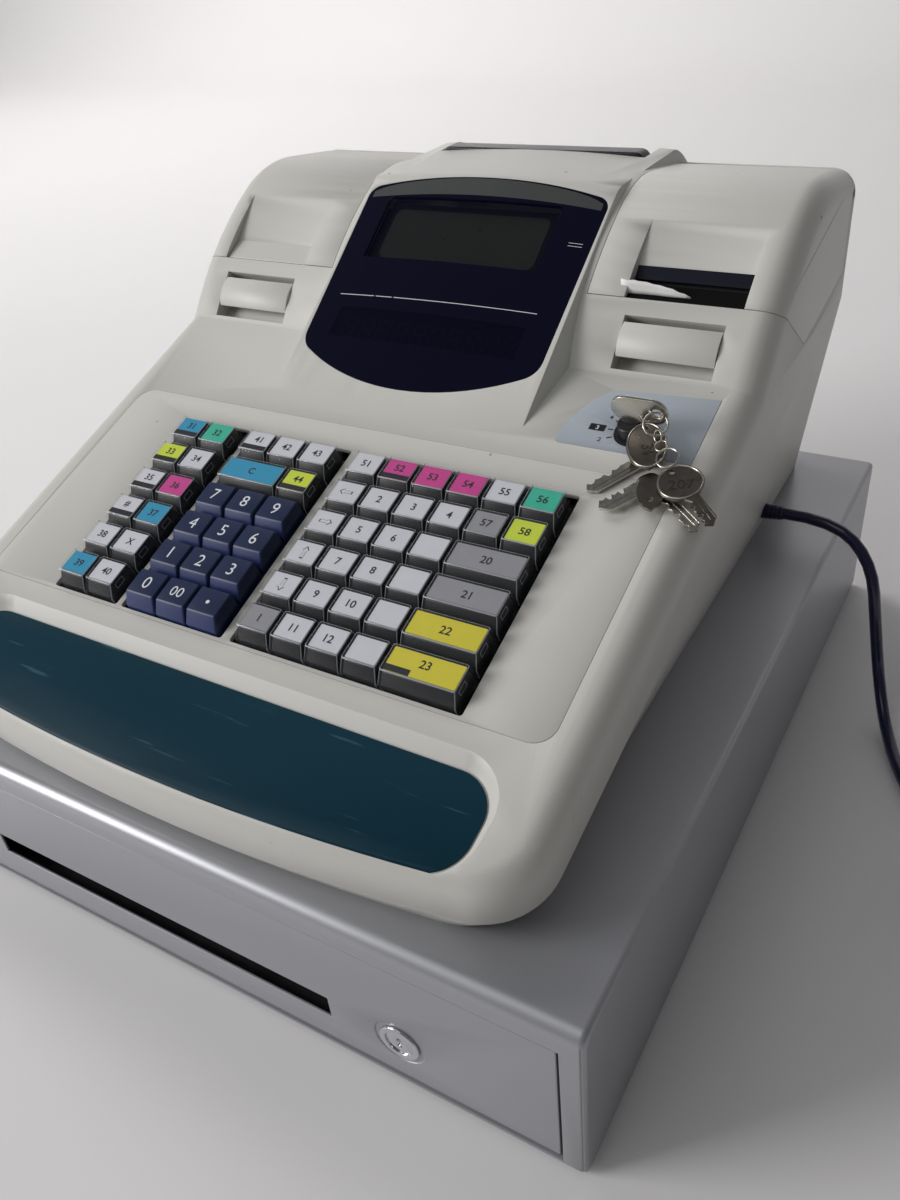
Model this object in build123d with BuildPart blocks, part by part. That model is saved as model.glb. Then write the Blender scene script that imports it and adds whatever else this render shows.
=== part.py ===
from build123d import *
from math import atan2, cos, degrees, hypot, pi, radians, sin, tan
import os

os.makedirs("parts", exist_ok=True)

# ---------------------------------------------------------------------------
# Driving dimensions, in millimetres.  X to the right, Y to the rear, Z up.
# The origin is on the table, under the middle of the drawer case.
# ---------------------------------------------------------------------------

# clearances
FACE_GAP = 0.3          # between pieces that move past each other
SEAM = 0.4              # visible joint between mouldings
PIN_FIT = 0.06          # radial clearance of a pin in its hole

# drawer case
CASE_W = 412.0
CASE_D = 438.6
CASE_TOP = 92.6
FOOT_H = 3.0
FOOT_R = 9.0
FOOT_INSET = 32.0
SHEET = 1.2
CASE_FRONT_R = 7.0
CASE_SIDE_R = 3.0
CORNER_SEAM_W = 0.8
CORNER_SEAM_DEPTH = 0.7

# inset drawer front
FRONT_HALF = 194.5
FRONT_Z0 = 5.8
FRONT_Z1 = 78.0
FRONT_GAP = 1.5
FRONT_RECESS = 0.8
FRONT_RETURN = 11.0
SLOT_X0 = -122.0
SLOT_X1 = 87.0
SLOT_Z0 = 22.2
SLOT_Z1 = 35.8

# drawer lock
LOCK_X = 122.6
LOCK_Z = 29.5
LOCK_DIMPLE_R = 12.2
LOCK_DIMPLE = 0.5
LOCK_RING_R = 9.5
LOCK_BODY_R = 8.3
LOCK_PLUG_R = 6.6
LOCK_LENGTH = 22.0
LOCK_CAM_LENGTH = 17.0
LOCK_CAM_W = 8.0
LOCK_CAM_T = 2.0

# slide rails and drawer pan
RAIL_Z = 46.0
RAIL_HALF_H = 6.5
RAIL_WALL = 1.5
RAIL_WEB_X = 195.0
RAIL_DEPTH = 12.0
RAIL_END_GAP = 13.0
RAIL_SPACER = 30.0
PAN_HALF = 180.5
PAN_Z0 = 8.0
PAN_WALL = 1.2
PAN_FLANGE_DROP = 4.0
PAN_HEIGHT = 52.0
PAN_REAR_GAP = 54.3     # from the pan to the rear of the case, room for the latch
PAN_REAR_Y = CASE_D / 2 - PAN_REAR_GAP

# till insert
TILL_GAP = 0.5
TILL_TOP = 63.0
TILL_Y0 = -188.0
TILL_WALL = 2.4
COIN_FLOOR_Z = 40.0
COIN_ROW_D = 88.0
ROLL_ROW_D = 66.0
COIN_CUPS = 6
ROLL_CUPS = 3
BILL_BAYS = 4
BILL_FLOOR_Z = 12.5

# bill clips on one rod
CLIP_ROD_R = 1.5
CLIP_ROD_Z = 56.0
CLIP_ROD_SETBACK = 9.0
CLIP_ARM_W = 14.0
CLIP_ARM_T = 2.4
CLIP_LENGTH = 92.0
CLIP_HUB_R = 4.0

# drawer latch
LATCH_SPAN = 32.0       # from the pan to the latch pin
LATCH_PIVOT_Y = PAN_REAR_Y + LATCH_SPAN
LATCH_PIVOT_Z = 13.0
LATCH_PIN_R = 2.0
LATCH_T = 6.0
LATCH_REACH = 25.0
SOLENOID_BACK = 4.0     # solenoid behind the latch pin
SOLENOID_FOOT = 30.0
SOLENOID_BODY = 26.0
LATCH_CLAW = 5.0
STRIKER_REACH = 14.0

# register body: the slope that carries the keyboard
SLOPE_DEG = 18.35
SLOPE_Z = 195.1         # height of the slope above Y = 0
WALL = 2.5
BODY_HALF = 177.0
BODY_FRONT_Y = -213.5
BODY_REAR_Y = 214.0
BODY_ARC_R = 1100.0
BODY_FRONT_R = 30.0
BODY_REAR_R = 14.0
BODY_EDGE_R = 13.0
BASE_HALF = 163.5
BASE_FRONT_Y = -207.0
BASE_REAR_Y = 209.0
PARTING_Z = 154.3       # height of the case joint above Y = 0
PARTING_RISE = 0.236    # rise of the case joint for each unit of Y

# printer fronts and covers, side view
CREASE_Y = 45.0
COVER_SEAM = (71.0, 238.6)
COVER_BROW = (113.0, 268.5)
CREST_RUN = 24.0
COVER_REAR_DROP = 0.14
CREST_R = 70.0
CREASE_R = 3.0
COVER_X0 = 79.0
FLAP_START = (61.0, 245.5)
FLAP_TIP = (121.0, 204.3)
FLAP_REAR = (196.0, 217.1)
BAY_FRONT_Y = 50.0
HINGE_Y = 196.0
HINGE_Z = 264.1
HINGE_R = 7.0
HINGE_PIN_R = 1.5
HINGE_POST_W = 5.0
HINGE_POST_T = 4.0
HINGE_POSTS = (88.0, 162.0)
HINGE_FOOT_Z = 226.0
PRINTER_X = 129.0       # middle of each printer
RECESS_HALF = 30.0
RECESS_TOP = (112.0, 268.6)
RECESS_MID = (95.2, 254.9)
RECESS_LOW = (84.5, 243.6)
RECESS_FOOT = (83.2, 241.0)
MOUTH_TOP_Z = 244.6
LEDGE_END = (83.0, 242.0)
LEDGE_ROOT = (72.6, 236.4)

# release latches
PAD_X = 127.75
PAD_HALF = 24.9
PAD_PIVOT = (23.0, -3.2)
PAD_LOW = 6.5
POCKET_LOW = (46.6, 211.9)
POCKET_TOP = (65.0, 232.2)
POCKET_DEPTH = 9.0
PAD_PIN_R = 1.5

# display hump
HUMP_SLOPE_DEG = 34.4
HUMP_Z = 194.03         # height of the hump's flat slope above Y = 0
HUMP_HALF = 75.5
HUMP_CROWN = 3.0
HUMP_TOP = 280.0
HUMP_DRAFT = 0.44      # sideways growth for each unit of depth
HUMP_DEEP = 30.0
HUMP_CREST_R = 14.0
HUMP_WALL = 4.5
VISOR_HALF_LOW = 72.4
VISOR_HALF_TOP = 74.0
VISOR_V_LOW = 32.7
VISOR_V_TOP = 138.2
VISOR_SAG_LOW = 21.8
VISOR_SAG_TOP = 8.5
VISOR_LOW_R = 13.0
VISOR_TOP_R = 8.0
VISOR_T = 2.0
VISOR_FIT = 0.25
WINDOW_HALF = 60.0
WINDOW_LEN = 96.0
WINDOW_V = 86.0

# printers
FRAME_HALF = 41.0
FRAME_T = 2.0
FRAME_Y0 = 79.0
FRAME_Y1 = 189.0
FRAME_Z0 = 165.0
FRAME_Z1 = 240.0
HEAD_Y1 = 85.0
HEAD_Z1 = 237.0
PLATEN = (92.0, 236.0)
PLATEN_R = 6.0
ROLL = (155.0, 222.0)
ROLL_R = 24.0
SPOOL = (118.0, 232.0)
SPOOL_R = 10.5
AXLE_R = 2.0
SPINDLE_R = 3.0
PAPER_W = 57.0
PAPER_T = 0.2
MOUTH = (77.5, 245.5)

# electronics
MAIN_W = 240.0
MAIN_D = 120.0
MAIN_Y = -30.0
SUPPLY_W = 110.0
SUPPLY_D = 76.0
SUPPLY_H = 44.0
SUPPLY_Y = 130.0

# display board behind the visor
DISPLAY_DEPTH = 8.5
BOARD_POST_X = 62.5
BOARD_POST_TOP = 4.3    # just under the hump's wall
LCD_X = -4.2
LCD_V = 110.8
LCD_W = 106.0
LCD_H = 40.0
DIGIT_V = 47.5
DIGIT_W = 112.0
DIGIT_H = 18.0

# customer display behind the hump
POLE_HALF = 66.0
POLE_Y0 = 180.0
POLE_DEPTH = 12.0
POLE_Z = 252.0
POLE_TOP = 280.0
POLE_R = 6.0

# keyboard
KEY_ROW_Y = -37.8       # rear top edge of the first key row
KEY_ROW_Z = 191.0
KEY_PITCH_X = 19.0
KEY_PITCH_V = 19.3
KEY_ABOVE = 8.0         # key top above the slope
KEY_CAP = 17.0
KEY_BASE = 18.4
KEY_TOP_D = 13.6
KEY_SLANT = 6.5         # depth of the sloping front face
KEY_MARGIN = 0.4        # rear edge of the key base behind its top face
KEY_SKIRT = 12.0        # key top to the lower edge of the skirt
KEY_STEM = 6.0
KEY_STEM_LOW = 20.5
KEY_TRAVEL = 3.5
LEFT_X = -108.4
MID_X = -62.0
RIGHT_X = 5.5
ROWS = 6
PANEL_HALF = 159.5
PANEL_Y0 = -146.3
PANEL_Y1 = -15.5
PANEL_R = 10.0
PANEL_T = 2.5
KEY_OPENINGS = ((-112.0, -69.5), (-66.5, -3.8), (1.0, 121.0))
OPENING_V1 = 5.0
OPENING_V0 = -115.3
PANEL_FIT = 0.25
PANEL_LEDGE = 4.0
GUIDE_OFF = 18.0        # key top to the upper face of the guide plate
GUIDE_T = 2.0
BOARD_OFF = 25.0
BOARD_T = 1.6
POST_X = (-117.0, -68.0, -1.4, 126.0)
POST_V1 = -20.0
POST_V0 = -100.0
POST_R = 2.0

# coin tray
TRAY_HALF = 152.5
TRAY_REAR_Y = -151.5
MAT_HALF = 147.5
MAT_REAR = (-161.0, 135.6)
MAT_FRONT = (-210.0, 123.4)
MAT_CORNER_R = 18.0
MAT_T = 0.8
TRAY_ARC_R = 1444.0
TRAY_BEVEL_DEG = 42.0

# mains cord
CORD_R = 3.25
CORD_FLOOR = CORD_R + 0.35
CORD_ROUTE = (
    (176.5, 122.0, 103.5),
    (205.0, 120.0, 106.5),
    (229.0, 110.0, 90.5),
    (237.0, 103.0, 56.5),
    (243.0, 102.0, 25.0),
    (254.0, 81.0, CORD_FLOOR),
    (270.0, 43.0, CORD_FLOOR),
    (294.0, 10.0, CORD_FLOOR),
    (306.0, -20.0, CORD_FLOOR),
)
BOOT_LENGTH = 27.0
BOOT_NECK_R = 4.8
BOOT_FLANGE_R = 5.6
COIL_X = 342.0
COIL_Y = -12.0
COIL_MEAN_R = 35.0
COIL_OUTER_TURN_R = 42.25
TAIL_LEAVES_AT = 210.0
COIL_THICK = 21.0
PLUG_LENGTH = 30.0
TAIL_LENGTH = 58.0

# mode lock
MODE_X = 129.0
MODE_Y = 10.0
MODE_BARREL_R = 6.5
MODE_COLLAR_R = 8.5
MODE_PROUD = 7.0
SWITCH_DEEP = 26.0
BARREL_DEEP = 20.0
BLADE_DEEP = 14.0
BLADE_W = 8.0
BLADE_T = 2.0
BOW_X = 5.0
BOW_Z = 15.5
BOW_W = 27.0
BOW_H = 14.0
BOW_HOLE_X = 13.5
BOW_HOLE_R = 2.6
RING_R = 10.2
RING_WIRE = 0.8
RING_LEAN = 25.0
RING_X = BOW_HOLE_X + RING_R * cos(radians(RING_LEAN))
RING_V = 0.0
RING_Z = BOW_Z - RING_R * sin(radians(RING_LEAN))
RING_HOLE = 2.0
LOOSE_T = 1.6
LOOSE_KEYS = (
    (1.6, 141.0, 0.0, -127.0, 18.0, 15.0, 24.0, 7.0),
    (3.8, 152.0, -12.0, -133.0, 18.0, 16.0, 22.0, 7.0),
    (3.8, 152.0, -18.0, -35.0, 18.0, 16.0, 28.0, 7.0),
    (6.0, 148.0, -8.0, -72.0, 14.0, 24.0, 4.0, 8.0),
    (8.2, 152.0, -2.0, -50.0, 28.0, 28.0, 22.0, 8.0),
    (10.4, 140.0, 5.0, -118.0, 22.0, 30.0, 1.0, 8.0),
)
PLATE_T = 0.6
PLATE_SEAT = 0.4
PLATE_CORNERS = ((94.5, -2.5), (161.5, -2.5), (161.5, 37.5), (110.0, 34.5))
PLATE_BULGE = (98.0, 17.0)

slope = radians(SLOPE_DEG)
half_w = CASE_W / 2
front_y = -CASE_D / 2
rear_y = CASE_D / 2


def slope_z(y):
    """Height of the keyboard slope at a given Y."""
    return SLOPE_Z + tan(slope) * y


def parting_z(y):
    """Height of the joint between upper and lower case at a given Y."""
    return PARTING_Z + PARTING_RISE * y


key_plane = Plane(origin=(0, KEY_ROW_Y, KEY_ROW_Z), x_dir=(1, 0, 0), z_dir=(0, -sin(slope), cos(slope)))
slope_plane = Plane(origin=(0, 0, SLOPE_Z), x_dir=(1, 0, 0), z_dir=(0, -sin(slope), cos(slope)))


def side_prism(points, x0, x1):
    """Solid between x0 and x1 whose side view is the closed polygon of (y, z) points."""
    with BuildPart() as prism:
        with BuildSketch(Plane.YZ.offset(x0)):
            with BuildLine():
                Polyline(*points, close=True)
            make_face()
        extrude(amount=x1 - x0)
    return prism.part


# ---------------------------------------------------------------------------
# Drawer unit
# ---------------------------------------------------------------------------

def case_block(inset, extra_rear):
    """Round-edged block of the drawer case, shrunk by inset on the top, front and sides."""
    with BuildPart() as block:
        with BuildSketch(Plane.XY.offset(FOOT_H)):
            with Locations((0, (inset + extra_rear) / 2)):
                Rectangle(CASE_W - 2 * inset, CASE_D - inset + extra_rear)
        extrude(amount=CASE_TOP - FOOT_H - inset)
        front_edge = block.faces().sort_by(Axis.Z)[-1].edges().sort_by(Axis.Y)[0]
        fillet(front_edge, CASE_FRONT_R - inset)
        side_edges = block.faces().sort_by(Axis.Z)[-1].edges().filter_by(Axis.Y)
        fillet(side_edges, CASE_SIDE_R - inset)
    return block.part


with BuildPart() as drawer_case:
    add(case_block(0, 0))
    add(case_block(SHEET, 20), mode=Mode.SUBTRACT)
    with BuildSketch(Plane.XZ.offset(-front_y)):
        with Locations((0, (FOOT_H + SHEET + FRONT_Z1 + FRONT_GAP) / 2)):
            Rectangle(2 * (FRONT_HALF + FRONT_GAP), FRONT_Z1 + FRONT_GAP - FOOT_H - SHEET)
    extrude(amount=-4 * SHEET, mode=Mode.SUBTRACT)
    for side in (-1, 1):
        with BuildSketch(Plane.XZ.offset(-front_y)):
            with Locations((side * (half_w - 1.5), CASE_TOP / 2)):
                Rectangle(CORNER_SEAM_W, CASE_TOP)
        extrude(amount=-CORNER_SEAM_DEPTH, mode=Mode.SUBTRACT)
drawer_case.part.label = "drawer_case"
export_step(drawer_case.part, "parts/drawer_case.step")

with BuildPart() as drawer_base:
    with BuildSketch(Plane.XY.offset(FOOT_H)):
        with Locations((0, SHEET / 2)):
            Rectangle(CASE_W - 2 * SHEET, CASE_D - SHEET)
    extrude(amount=SHEET)
    with BuildSketch(Plane.XZ.offset(-rear_y)):
        with Locations((0, (FOOT_H + CASE_TOP - SHEET) / 2)):
            Rectangle(CASE_W - 2 * SHEET, CASE_TOP - SHEET - FOOT_H)
    extrude(amount=SHEET)
    rear_top = drawer_base.faces().sort_by(Axis.Z)[-1].edges().filter_by(Axis.Y)
    chamfer(rear_top, CASE_SIDE_R - SHEET)
    fillet(drawer_base.edges().filter_by(Axis.Z).group_by(Axis.Y)[0], CASE_SIDE_R - SHEET)
drawer_base.part.label = "drawer_base"
export_step(drawer_base.part, "parts/drawer_base.step")

with BuildPart() as case_feet:
    foot_x = half_w - FOOT_INSET
    foot_y = rear_y - FOOT_INSET
    with BuildSketch():
        with Locations(*[(sx * foot_x, sy * foot_y) for sx in (-1, 1) for sy in (-1, 1)]):
            Circle(FOOT_R)
    extrude(amount=FOOT_H)
    chamfer(case_feet.faces().filter_by(Axis.Z).group_by(Axis.Z)[0].edges(), 0.8)
case_feet.part.label = "case_feet"
export_step(case_feet.part, "parts/case_feet.step")

rail_length = CASE_D - 2 * RAIL_END_GAP
rail_mid_x = RAIL_WEB_X - RAIL_DEPTH / 2
with BuildPart() as case_rails:
    for side in (-1, 1):
        with BuildSketch(Plane.XZ.offset(-front_y - RAIL_END_GAP)):
            with Locations((side * rail_mid_x, RAIL_Z)):
                Rectangle(RAIL_DEPTH, 2 * RAIL_HALF_H)
            with Locations((side * (rail_mid_x - RAIL_WALL), RAIL_Z)):
                Rectangle(RAIL_DEPTH, 2 * (RAIL_HALF_H - RAIL_WALL), mode=Mode.SUBTRACT)
        extrude(amount=-rail_length)
        for y in (-150, 0, 150):
            with BuildSketch(Plane.XY.offset(RAIL_Z - RAIL_WALL)):
                with Locations((side * (RAIL_WEB_X + half_w - SHEET) / 2, y)):
                    Rectangle(half_w - SHEET - RAIL_WEB_X, RAIL_SPACER)
            extrude(amount=2 * RAIL_WALL)
case_rails.part.label = "case_rails"
export_step(case_rails.part, "parts/case_rails.step")

panel_y = front_y + FRONT_RECESS
with BuildPart() as drawer_front:
    with BuildSketch(Plane.XZ.offset(-panel_y)):
        with Locations((0, (FRONT_Z0 + FRONT_Z1) / 2)):
            Rectangle(2 * FRONT_HALF, FRONT_Z1 - FRONT_Z0)
    extrude(amount=-FRONT_RETURN)
    fillet(drawer_front.faces().sort_by(Axis.Y)[0].edges(), 0.6)
    with BuildSketch(Plane.XZ.offset(-panel_y - SHEET)):
        with Locations((0, (FRONT_Z0 + FRONT_Z1) / 2)):
            Rectangle(2 * (FRONT_HALF - SHEET), FRONT_Z1 - FRONT_Z0 - 2 * SHEET)
    extrude(amount=-FRONT_RETURN, mode=Mode.SUBTRACT)
    with BuildSketch(Plane.XZ.offset(-panel_y)):
        with Locations(((SLOT_X0 + SLOT_X1) / 2, (SLOT_Z0 + SLOT_Z1) / 2)):
            Rectangle(SLOT_X1 - SLOT_X0, SLOT_Z1 - SLOT_Z0)
        with Locations((LOCK_X, LOCK_Z)):
            Circle(LOCK_BODY_R + PIN_FIT)
    extrude(amount=-2 * SHEET, mode=Mode.SUBTRACT)
    with BuildSketch(Plane.XZ.offset(-panel_y)):
        with Locations((LOCK_X, LOCK_Z)):
            Circle(LOCK_DIMPLE_R)
    extrude(amount=-LOCK_DIMPLE, mode=Mode.SUBTRACT)
drawer_front.part.label = "drawer_front"
export_step(drawer_front.part, "parts/drawer_front.step")

pan_y0 = panel_y + SHEET
pan_depth = PAN_REAR_Y - pan_y0
pan_top = PAN_Z0 + PAN_HEIGHT
runner_x1 = RAIL_WEB_X - RAIL_WALL - 2 * FACE_GAP
lip_half = RAIL_HALF_H - RAIL_WALL - FACE_GAP


def panel(x0, x1, y0, y1, z0, z1, hole=None):
    """Flat panel between two corners, with a round hole along X at hole, a (y, z, radius)."""
    with BuildPart() as made:
        with BuildSketch(Plane.XY.offset(z0)):
            with Locations(((x0 + x1) / 2, (y0 + y1) / 2)):
                Rectangle(x1 - x0, y1 - y0)
        extrude(amount=z1 - z0)
        if hole:
            with BuildSketch(Plane.YZ.offset(x0)):
                with Locations(hole[:2]):
                    Circle(hole[2])
            extrude(amount=x1 - x0, mode=Mode.SUBTRACT)
    return made.part.solid()


def runner(side):
    """Runner spot-welded along one side of the pan: a web and the lip that rides in the rail."""
    with BuildPart() as made:
        with BuildSketch(Plane.XZ.offset(-front_y - RAIL_END_GAP - RAIL_WALL)):
            with Locations((side * (PAN_HALF + runner_x1) / 2, RAIL_Z)):
                Rectangle(runner_x1 - PAN_HALF, RAIL_WALL)
            with Locations((side * (runner_x1 - RAIL_WALL / 2), RAIL_Z)):
                Rectangle(RAIL_WALL, 2 * lip_half)
        extrude(amount=-(pan_depth - RAIL_END_GAP))
    return made.part.solid()


pan_inner = PAN_HALF - PAN_WALL
pan_z1 = PAN_Z0 + PAN_WALL
striker_y = PAN_REAR_Y + STRIKER_REACH
striker_z = LATCH_PIVOT_Z + LATCH_T / 2 + LATCH_CLAW + 2.2
drawer_pan = Compound([
    panel(-PAN_HALF, PAN_HALF, pan_y0, PAN_REAR_Y, PAN_Z0, pan_z1),
    panel(-PAN_HALF, -pan_inner, pan_y0, PAN_REAR_Y, pan_z1, pan_top),
    panel(pan_inner, PAN_HALF, pan_y0, PAN_REAR_Y, pan_z1, pan_top),
    panel(-pan_inner, pan_inner, PAN_REAR_Y - PAN_WALL, PAN_REAR_Y, pan_z1, pan_top),
    panel(-pan_inner, pan_inner, pan_y0, pan_y0 + PAN_WALL, pan_z1, SLOT_Z0 - PAN_FLANGE_DROP),
    runner(-1),
    runner(1),
    panel(-LATCH_T, LATCH_T, PAN_REAR_Y, striker_y, striker_z + 6, striker_z + 8),
    panel(-LATCH_T, LATCH_T, striker_y - 2, striker_y, striker_z, striker_z + 6),
])
drawer_pan.label = "drawer_pan"
export_step(drawer_pan, "parts/drawer_pan.step")

till_half = PAN_HALF - PAN_WALL - TILL_GAP
till_z0 = PAN_Z0 + PAN_WALL
till_y1 = PAN_REAR_Y - PAN_WALL - TILL_GAP
coin_y0 = TILL_Y0 + TILL_WALL
roll_y0 = coin_y0 + COIN_ROW_D + TILL_WALL
bill_y0 = roll_y0 + ROLL_ROW_D + TILL_WALL
bill_y1 = till_y1 - TILL_WALL
clip_rod_y = bill_y1 - CLIP_ROD_SETBACK


def cup_width(count):
    """Inner width of one of count equal compartments side by side."""
    return (2 * till_half - (count + 1) * TILL_WALL) / count


def cup_centres(count, y):
    """Middle points of a row of count compartments at a given Y."""
    pitch = cup_width(count) + TILL_WALL
    return [((i - (count - 1) / 2) * pitch, y) for i in range(count)]


till_inner = till_half - TILL_WALL
coin_y1 = roll_y0 - TILL_WALL
roll_y1 = bill_y0 - TILL_WALL
coin_underside = COIN_FLOOR_Z - TILL_WALL
rod_hole = (clip_rod_y, CLIP_ROD_Z, CLIP_ROD_R + PIN_FIT)


def dividers(count, y0, y1, z0, hole=None):
    """Upright dividers between count equal compartments."""
    pitch = cup_width(count) + TILL_WALL
    places = [(i - (count - 2) / 2) * pitch for i in range(count - 1)]
    return [panel(x - TILL_WALL / 2, x + TILL_WALL / 2, y0, y1, z0, TILL_TOP, hole) for x in places]


till_insert = Compound([
    panel(-till_half, -till_inner, TILL_Y0, till_y1, till_z0, TILL_TOP, rod_hole),
    panel(till_inner, till_half, TILL_Y0, till_y1, till_z0, TILL_TOP, rod_hole),
    panel(-till_inner, till_inner, TILL_Y0, roll_y1, coin_underside, COIN_FLOOR_Z),
    panel(-till_inner, till_inner, roll_y1, till_y1, till_z0, BILL_FLOOR_Z),
    panel(-till_inner, till_inner, TILL_Y0, coin_y0, COIN_FLOOR_Z, TILL_TOP),
    panel(-till_inner, till_inner, coin_y1, roll_y0, COIN_FLOOR_Z, TILL_TOP),
    panel(-till_inner, till_inner, roll_y1, bill_y0, BILL_FLOOR_Z, TILL_TOP),
    panel(-till_inner, till_inner, bill_y1, till_y1, BILL_FLOOR_Z, TILL_TOP),
    *dividers(COIN_CUPS, coin_y0, coin_y1, COIN_FLOOR_Z),
    *dividers(ROLL_CUPS, roll_y0, roll_y1, COIN_FLOOR_Z),
    *dividers(BILL_BAYS, bill_y0, bill_y1, BILL_FLOOR_Z, rod_hole),
])
till_insert.label = "till_insert"
export_step(till_insert, "parts/till_insert.step")

clip_drop = CLIP_ROD_Z - BILL_FLOOR_Z - CLIP_ARM_T / 2 - FACE_GAP - 1.2
clip_run = (CLIP_LENGTH ** 2 - clip_drop ** 2) ** 0.5
with BuildPart() as bill_clips:
    with BuildSketch(Plane.YZ.offset(-till_half)):
        with Locations((clip_rod_y, CLIP_ROD_Z)):
            Circle(CLIP_ROD_R)
    extrude(amount=2 * till_half)
    for x, y in cup_centres(BILL_BAYS, 0):
        tip = (clip_rod_y - clip_run, CLIP_ROD_Z - clip_drop)
        with BuildSketch(Plane.YZ.offset(x - CLIP_ARM_W / 2)):
            with Locations((clip_rod_y, CLIP_ROD_Z)):
                Circle(CLIP_HUB_R)
            with BuildLine():
                Polyline((clip_rod_y, CLIP_ROD_Z), tip)
            trace(line_width=CLIP_ARM_T)
            with Locations(tip):
                Circle(CLIP_ARM_T / 2)
        extrude(amount=CLIP_ARM_W)
        with BuildSketch(Plane.YZ.offset(x - 2 * CLIP_ARM_W)):
            with Locations(tip):
                Circle(CLIP_ARM_T / 2 + 0.6)
        extrude(amount=4 * CLIP_ARM_W)
bill_clips.part.label = "bill_clips"
export_step(bill_clips.part, "parts/bill_clips.step")

lock_face = Plane.XZ.offset(-front_y)
lock_seat = Plane.XZ.offset(-panel_y - LOCK_DIMPLE)
with BuildPart() as lock_housing:
    with BuildSketch(lock_seat):
        with Locations((LOCK_X, LOCK_Z)):
            Circle(LOCK_BODY_R)
    extrude(amount=-LOCK_LENGTH)
    with BuildSketch(lock_seat):
        with Locations((LOCK_X, LOCK_Z)):
            Circle(LOCK_RING_R)
    extrude(amount=FRONT_RECESS + LOCK_DIMPLE)
    fillet(lock_housing.faces().sort_by(Axis.Y)[0].edges(), 0.6)
    with BuildSketch(lock_face):
        with Locations((LOCK_X, LOCK_Z)):
            Circle(LOCK_PLUG_R + PIN_FIT)
    extrude(amount=-LOCK_LENGTH - 4, mode=Mode.SUBTRACT)
lock_housing.part.label = "lock_housing"
export_step(lock_housing.part, "parts/lock_housing.step")

lock_rear = panel_y + LOCK_DIMPLE + LOCK_LENGTH
with BuildPart() as lock_cylinder:
    with BuildSketch(Plane.XZ.offset(-front_y - 0.5)):
        with Locations((LOCK_X, LOCK_Z)):
            Circle(LOCK_PLUG_R)
    extrude(amount=-(lock_rear + FACE_GAP - front_y - 0.5))
    with BuildSketch(Plane.XZ.offset(-front_y - 0.5)):
        with Locations((LOCK_X, LOCK_Z)):
            SlotOverall(6.4, 1.8, rotation=90)
    extrude(amount=-10, mode=Mode.SUBTRACT)
    with BuildSketch(Plane.XZ.offset(-lock_rear - FACE_GAP)):
        with Locations((LOCK_X, LOCK_Z)):
            Circle(LOCK_PLUG_R)
        with Locations((LOCK_X - LOCK_CAM_LENGTH / 2, LOCK_Z)):
            Rectangle(LOCK_CAM_LENGTH, LOCK_CAM_W)
        with Locations((LOCK_X - LOCK_CAM_LENGTH, LOCK_Z)):
            Circle(LOCK_CAM_W / 2)
    extrude(amount=-LOCK_CAM_T)
lock_cylinder.part.label = "lock_cylinder"
export_step(lock_cylinder.part, "parts/lock_cylinder.step")

base_z = FOOT_H + SHEET
with BuildPart() as latch_solenoid:
    with BuildSketch(Plane.XY.offset(base_z)):
        with Locations((LATCH_T * 2 + 17, LATCH_PIVOT_Y + SOLENOID_BACK)):
            Rectangle(SOLENOID_FOOT, SOLENOID_FOOT)
        with Locations((10, LATCH_PIVOT_Y)):
            Rectangle(44, 14)
    extrude(amount=2)
    with BuildSketch(Plane.XY.offset(base_z)):
        with Locations((LATCH_T * 2 + 17, LATCH_PIVOT_Y + SOLENOID_BACK)):
            Rectangle(SOLENOID_BODY, SOLENOID_BODY)
    extrude(amount=24)
    for side in (-1, 1):
        with BuildSketch(Plane.XY.offset(base_z)):
            with Locations((side * (LATCH_T / 2 + FACE_GAP + 1), LATCH_PIVOT_Y)):
                Rectangle(2, 10)
        extrude(amount=LATCH_PIVOT_Z - base_z + 5)
    with BuildSketch(Plane.YZ.offset(-LATCH_T / 2 - FACE_GAP - 1)):
        with Locations((LATCH_PIVOT_Y, LATCH_PIVOT_Z)):
            Circle(LATCH_PIN_R)
    extrude(amount=LATCH_T + 2 * FACE_GAP + 2)
latch_solenoid.part.label = "latch_solenoid"
export_step(latch_solenoid.part, "parts/latch_solenoid.step")

with BuildPart() as latch_hook:
    with BuildSketch(Plane.YZ.offset(-LATCH_T / 2)):
        with Locations((LATCH_PIVOT_Y, LATCH_PIVOT_Z)):
            Circle(LATCH_T / 2 + 1)
        with Locations((LATCH_PIVOT_Y - LATCH_REACH / 2, LATCH_PIVOT_Z)):
            Rectangle(LATCH_REACH, LATCH_T)
        with Locations((LATCH_PIVOT_Y - LATCH_REACH + 1.5, LATCH_PIVOT_Z + LATCH_CLAW / 2)):
            Rectangle(3, LATCH_T + LATCH_CLAW)
        with Locations((LATCH_PIVOT_Y, LATCH_PIVOT_Z)):
            Circle(LATCH_PIN_R + PIN_FIT, mode=Mode.SUBTRACT)
    extrude(amount=LATCH_T)
latch_hook.part.label = "latch_hook"
export_step(latch_hook.part, "parts/latch_hook.step")

# ---------------------------------------------------------------------------
# Register housing
# ---------------------------------------------------------------------------

parting_angle = atan2(PARTING_RISE, 1)
parting_plane = Plane(origin=(0, 0, PARTING_Z), x_dir=(1, 0, 0),
                      z_dir=(0, -sin(parting_angle), cos(parting_angle)))
parting_stretch = 1 / cos(parting_angle)


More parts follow.
